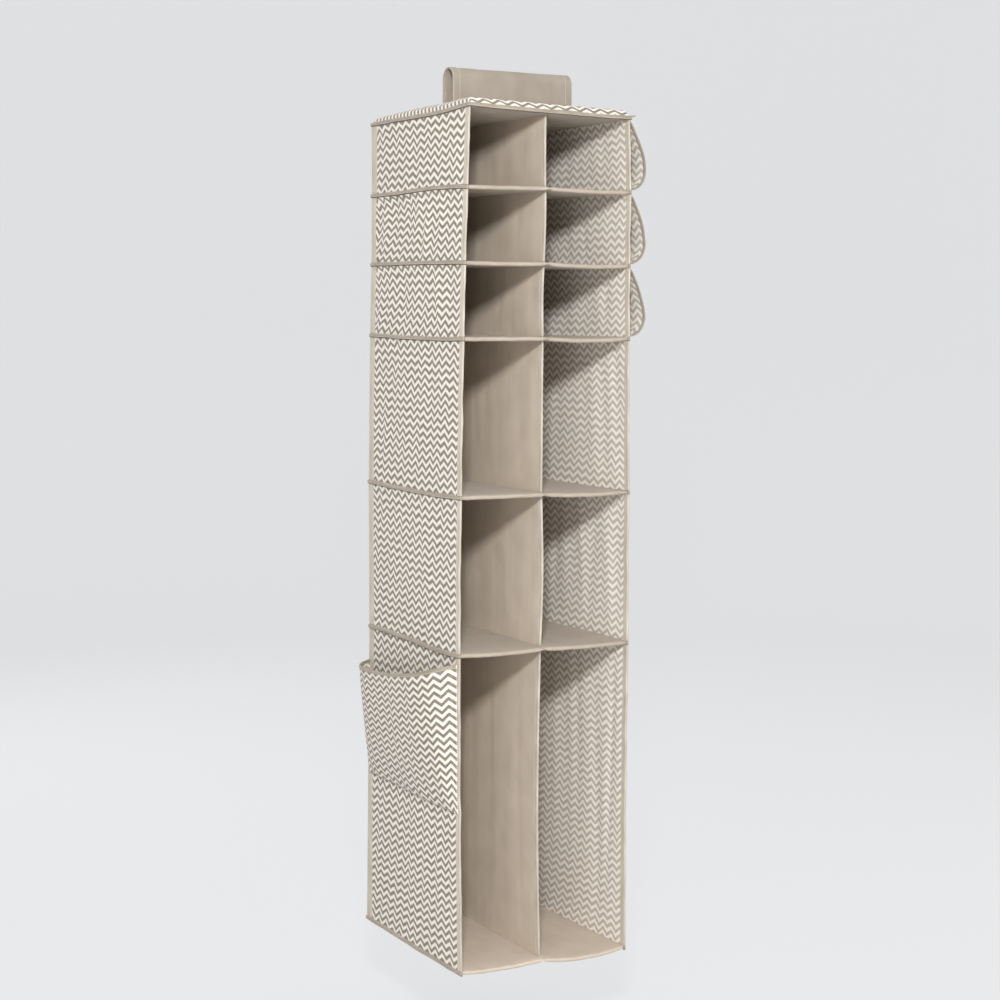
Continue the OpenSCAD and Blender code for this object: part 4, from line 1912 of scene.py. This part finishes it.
@dataclass(frozen=True)
class Pouch(Sewn):
    """A pouch sewn to the outside of a wall, with a binding folded round its mouth.

    Each row of the band holds the distance inside the mouth and the distance outside the inner face of the
    pouch, first for the outer and then for the inner face of the binding.
    """

    cloth: float = 1.6
    band: tuple[Row, ...] = ()

    def surface(self, run: Places, turn: Places, grow: Places) -> Array:
        """Points at distances inside the mouth, places along it and distances outside the inner face."""
        raise NotImplementedError

    def bind(self, name: str, node: str, turn: Array, girth: Array) -> None:
        """Builds the binding: its band, carried along the mouth.

        Args:
            name: Name of the piece.
            node: CAD node of the pouch; not used.
            turn: Places along the mouth.
            girth: Distances walked along the mouth to these places.
        """
        plan = np.array(self.band)[..., None]
        walked = run_length(plan[:, :2, 0])
        faces = (self.surface(plan[:, i], turn, plan[:, i + 1]) for i in (0, 2))
        skin = Skin().layer(*faces, placed(walked[:, None], girth) * MM)
        tape = self.hang(skin, name, self.finishes.seam, Slot.TAPE)


@dataclass(frozen=True)
class Sleeve(Pouch):
    """Open-fronted sleeve on the right wall of a tier, with a bound mouth."""

    bulge: float = 26.0
    skew: float = 0.6
    close: float = 3.0
    setback: float = 5.0
    points: int = 41
    step: float = 5.0
    crease: Drift = Drift(900, 110.0, 0.9)
    crease_slant: Pair = (0.7, 90.0)
    crease_from: float = 40.0
    print_seed: int = 600
    print_spread: float = 100.0
    stitch_at: Pair = (5.2, 2.2)
    band: tuple[Row, ...] = (
        (7.5, 2.0, 7.5, 1.6), (4.0, 2.3, 4.0, 1.6), (0.6, 2.3, 0.8, 1.6), (-0.5, 1.8, 0.2, 1.2),
        (-0.8, 0.8, 0.1, 0.8), (-0.5, -0.2, 0.2, 0.4), (0.6, -0.7, 0.8, 0.0), (3.0, -0.7, 3.0, 0.0),
        (5.5, -0.5, 5.5, 0.0),
    )

    @property
    def start(self) -> float:
        """Y of the mouth."""
        return self.body.front_y + self.setback

    @property
    def length(self) -> float:
        """Length from the mouth to the closed back."""
        return self.body.back_y - self.body.corner_tape / 2.0 - self.start - self.cloth

    def surface(self, run: Places, turn: Places, grow: Places) -> Array:
        """Sleeve surface: a pear-shaped half section that closes towards the back.

        It stands out by the bulge times sin a (1 + skew cos a) (1 - u^close), with a from the bottom to the
        top and u from the front to the back, and rides on the slack of the wall and its seams.

        Args:
            run: Distances behind the mouth.
            turn: Angles round the section in radians.
            grow: Distances outside the inner face.

        Returns:
            The points.
        """
        body, slack, k = self.body, self.slack, self.k
        run, turn, grow = np.broadcast_arrays(run, turn, grow)
        u, sine, cosine = held(run / self.length), np.sin(turn), np.cos(turn)
        foot, top = body.tapes(k)
        out = self.bulge * sine * (1.0 + self.skew * cosine) * (1.0 - u**self.close)
        slanted = self.crease_slant[0] * run + self.crease_slant[1] * turn
        crease = self.crease.at(slanted, k) * sine * smooth(run / self.crease_from)
        y = self.start + run + grow * u
        z = (top + foot) / 2.0 - ((top - foot) / 2.0 - self.cloth + grow) * cosine
        x = body.side_x + body.bind + out + slack.side(k, Side.RIGHT, y, z) + (grow + crease) * sine
        return placed(x, y, z + slack.lift(k, body.side_x, y, z))

    def build(self) -> None:
        """Builds the sleeve, the binding round its mouth and the stitches in the binding."""
        k, node = self.k, f"right_sleeve_{self.k}"
        turn, run = np.linspace(0.0, np.pi, self.points), spaced(0.0, self.length, self.step)[:, None]
        outer, inner = (self.surface(run, turn, grow) for grow in (self.cloth, 0.0))
        girth = run_length(outer[0])
        shift = np.random.default_rng(self.print_seed + k).uniform(0.0, self.print_spread, 2)
        skin = Skin().layer(outer, inner, (placed(run, girth) + shift) * MM)
        piece = self.hang(skin, f"sleeve_cloth_{k}", self.finishes.chevron, Slot.CHEVRON, node)
        self.length
        self.bind(f"sleeve_tape_{k}", node, turn, girth)
        depth, grow = self.stitch_at
        seam = Skin().stitches(self.surface(depth, turn, grow), placed(np.sin(turn), 0.0, -np.cos(turn)))
        self.hang(seam, f"sleeve_stitches_{k}", self.finishes.thread, Slot.TAPE)


@dataclass(frozen=True)
class Pocket(Pouch):
    """Slack pocket on the left wall of the lowest tier, with a folded hem along its gaping mouth."""

    drop: float = 14.0
    height: float = 243.0
    bulge: float = 42.0
    tilt: float = 45.0
    dip: float = 16.0
    lap: float = 4.0
    inset: float = 4.0
    square: float = 7.0
    sag: float = 2.5
    fill: float = 0.6
    points: int = 97
    step: float = 4.5
    ripple_seed: int = 77
    ripples: tuple[int, float, float] = (9, 2.3, 15.0)
    ripple_reach: float = 0.96
    ripple_fade: float = 0.25
    mouth_stitch: Pair = (4.6, 2.3)
    foot_stitch: float = 4.0
    side_stitches: Pair = (0.012, 0.988)
    band: tuple[Row, ...] = (
        (6.0, 2.0, 6.0, 1.6), (4.0, 2.4, 4.0, 1.6), (1.0, 2.4, 1.2, 1.6), (-0.6, 1.8, 0.2, 1.2),
        (-0.9, 0.8, 0.0, 0.8), (-0.6, -0.2, 0.2, 0.4), (1.0, -0.8, 1.2, 0.0), (4.0, -0.8, 4.0, 0.0),
        (6.0, -0.5, 6.0, 0.0),
    )

    @property
    def width(self) -> float:
        """Width between the sewn sides."""
        return self.body.depth - self.body.front_tape + self.lap - self.inset

    def surface(self, run: Places, turn: Places, grow: Places) -> Array:
        """Pocket surface: a slack bag whose mouth slants and dips, with soft folds that run down from it.

        It stands out by the bulge times (1 - |2u - 1|^square) s^fill, with s from the bottom to the mouth
        and u from the front to the back.

        Args:
            run: Distances below the mouth.
            turn: Shares u of the width.
            grow: Distances outside the inner face.

        Returns:
            The points.
        """
        body, slack, k, width = self.body, self.slack, self.k, self.width
        below, u, grow = np.broadcast_arrays(run, turn, grow)
        s, off = 1.0 - below / self.height, np.abs(2.0 * u - 1.0)
        y = body.front_y + body.front_tape - self.lap + width * u
        mouth = body.seam_z(k - 1) - self.drop
        z = mouth - below - (self.tilt * u + self.dip * (1.0 - off**self.sag)) * s
        ripples = Puckers.drawn(self.ripple_seed, width, *self.ripples)
        folds = ripples.rise(width * u, self.ripple_reach * held(s)) * smooth((1.0 - off) / self.ripple_fade)
        out = self.bulge * (1.0 - off**self.square) * held(s) ** self.fill
        x = -body.side_x - body.bind - grow - out - slack.side(k, Side.LEFT, y, z) - folds
        return placed(x, y, z + slack.lift(k, -body.side_x, y, z))

    def build(self) -> None:
        """Builds the pocket, its hem and its rows of stitches."""
        node, grow = "left_pocket", self.cloth
        u, below = np.linspace(0.0, 1.0, self.points), spaced(self.height, 0.0, self.step)
        outer, inner = (self.surface(below[:, None], u, g) for g in (grow, 0.0))
        girth = run_length(outer[-1])
        skin = Skin().layer(outer, inner, placed(-girth, -below[:, None]) * MM)
        piece = self.hang(skin, "pocket_cloth", self.finishes.chevron, Slot.CHEVRON, node)
        0.5 * (girth[-1] + self.width)
        self.bind("pocket_hem", node, u, girth)
        rows = [(self.mouth_stitch[0], u, self.mouth_stitch[1]), (self.height - self.foot_stitch, u, grow)]
        rows += [(below, share, grow) for share in self.side_stitches]
        seams = Skin()
        for row in rows:
            seams.stitches(self.surface(*row), np.array([-1.0, 0.0, 0.0]))
        self.hang(seams, "pocket_stitches", self.finishes.thread, Slot.TAPE)


@dataclass(frozen=True)
class Studio:
    """Pale round studio, soft lamps and the camera at the photograph's viewpoint, with lengths in metres."""

    floor_z: float = -1.62
    floor_radius: float = 4.6
    floor_hole: float = 1e-5
    bend: float = 1.2
    wall_top: float = 3.0
    floor_points: int = 24
    bend_points: int = 17
    turns: int = 96
    paper_tone: Colour = (0.62, 0.62, 0.63)
    paper_roughness: float = 0.9
    glow_tone: Colour = (0.84, 0.85, 0.87)
    glow_share: float = 0.75
    sky_tone: Colour = (1.0, 0.985, 0.96)
    sky_strength: float = 0.76
    eye: Row = (-1.6429, -3.0146, -0.3857)
    yaw: float = 28.457
    pitch: float = -3.968
    roll: float = 0.504
    lens: float = 73.33
    film: float = 36.0
    shift: Pair = (0.0, -0.0442)
    middle: Row = (0.0, 0.0, -0.7)
    lamps: tuple[tuple[str, Row, float, float], ...] = (
        ("front", (-1.5, -2.7, 0.5), 0.3, 91.0),
        ("fill", (-1.9, -2.5, -1.0), 1.5, 24.0),
        ("side", (3.0, -0.6, 0.4), 1.4, 26.0),
        ("back", (-0.6, 3.2, 0.6), 1.6, 42.0),
    )

    def backdrop(self) -> None:
        """Builds floor and wall in one: a line, a quarter circle and a line, turned round an upright axis."""
        floor = placed(np.linspace(self.floor_hole, self.floor_radius, self.floor_points)[:-1], self.floor_z)
        bend = arc((self.floor_radius, self.floor_z + self.bend), self.bend, -90.0, 0.0, self.bend_points)
        line = np.concatenate([floor, bend, [[self.floor_radius + self.bend, self.wall_top]]])
        turn = np.linspace(0.0, 2.0 * np.pi, self.turns + 1)[:-1]
        rings = placed(line[:, :1] * np.cos(turn), line[:, :1] * np.sin(turn), line[:, 1:])
        quads = quads_of(wrapped(np.arange(len(line) * self.turns).reshape(len(line), self.turns)))
        mesh = bpy.data.meshes.new("studio")
        mesh.from_pydata(rings.reshape(-1, 3).tolist(), [], quads.tolist())
        mesh.polygons.foreach_set("use_smooth", np.ones(len(quads), bool))
        mesh.materials.append(self.paper())
        room = bpy.data.objects.new("studio", mesh)
        bpy.context.scene.collection.objects.link(room)

    def paper(self) -> Material:
        """Pale paper that also glows a little towards the camera, so that it stays pale and keeps a shadow.

        Returns:
            The material.
        """
        graph = Graph("studio_paper")
        inputs = graph.shader.inputs
        inputs["Base Color"].default_value = (*self.paper_tone, 1.0)
        inputs["Roughness"].default_value = self.paper_roughness
        inputs["Specular IOR Level"].default_value = 0.0
        glow = graph.node("ShaderNodeEmission", {}, {"Color": (*self.glow_tone, 1.0)})
        share = graph.node("ShaderNodeLightPath", {}, output="Is Camera Ray") * self.glow_share
        ends = {0: share, 1: Value(graph, graph.shader.outputs[0]), 2: glow}
        mixed = graph.node("ShaderNodeMixShader", {}, ends)
        graph.tree.links.new(mixed.socket, graph.tree.nodes["Material Output"].inputs["Surface"])
        return graph.material

    def lamp(self, name: str, place: Row, size: float, watts: float) -> None:
        """Adds a soft square lamp that faces the middle of the organizer.

        Args:
            name: Name of the lamp.
            place: Where it stands.
            size: Side of the lamp.
            watts: Its power.
        """
        light = bpy.data.lights.new(name, "AREA")
        light.size = size
        light.energy = watts
        lamp = bpy.data.objects.new(name, light)
        lamp.location = place
        back = unit(np.array(place) - np.array(self.middle))
        right = unit(np.cross([0.0, 0.0, 1.0], back))
        lamp.rotation_euler = Matrix(placed(right, np.cross(back, right), back).tolist()).to_euler()
        bpy.context.scene.collection.objects.link(lamp)

    def camera(self) -> None:
        """Adds the camera: turned by its yaw, then its pitch, then its roll about the line of sight."""
        yaw, pitch, roll = (math.radians(angle) for angle in (self.yaw, self.pitch, self.roll))
        ahead, up = np.array([math.sin(yaw), math.cos(yaw), 0.0]), np.array([0.0, 0.0, 1.0])
        right = np.cross(ahead, up)
        sight = math.cos(pitch) * ahead + math.sin(pitch) * up
        head = math.cos(pitch) * up - math.sin(pitch) * ahead
        sideways = math.cos(roll) * right + math.sin(roll) * head
        upwards = math.cos(roll) * head - math.sin(roll) * right
        data = bpy.data.cameras.new("camera")
        data.lens = self.lens
        data.sensor_width = self.film
        data.shift_x, data.shift_y = self.shift
        camera = bpy.data.objects.new("camera", data)
        axes = Matrix(placed(sideways, upwards, -sight).tolist())
        camera.matrix_world = Matrix.Translation(self.eye) @ axes.to_4x4()
        bpy.context.scene.collection.objects.link(camera)
        bpy.context.scene.camera = camera

    def world(self) -> None:
        """Sets the even light of the sky over the studio."""
        world = bpy.data.worlds.new("sky")
        world.use_nodes = True
        ground = world.node_tree.nodes["Background"]
        ground.inputs["Color"].default_value = (*self.sky_tone, 1.0)
        ground.inputs["Strength"].default_value = self.sky_strength
        bpy.context.scene.world = world

    def build(self) -> None:
        """Builds the whole studio."""
        bpy.context.scene.view_settings.view_transform = "Standard"
        self.camera()
        self.backdrop()
        self.world()
        for lamp in self.lamps:
            self.lamp(*lamp)


def main() -> None:
    """Builds the organizer from the top down."""
    logging.basicConfig(level=logging.INFO, format="%(name)s: %(message)s")
    body, finishes = Body(), Finishes.mixed()
    kit = (body, Slack(body), finishes)
    Studio().build()
    Top(0, *kit).build()
    Strap(finishes).build()
    for k in range(1, body.count + 1):
        Tier(k, *kit).build()
        Shelf(k, *kit).build()
    for k in SLEEVE_TIERS:
        Sleeve(k, *kit).build()
    Pocket(body.count, *kit).build()


if __name__ == "__main__":
    main()
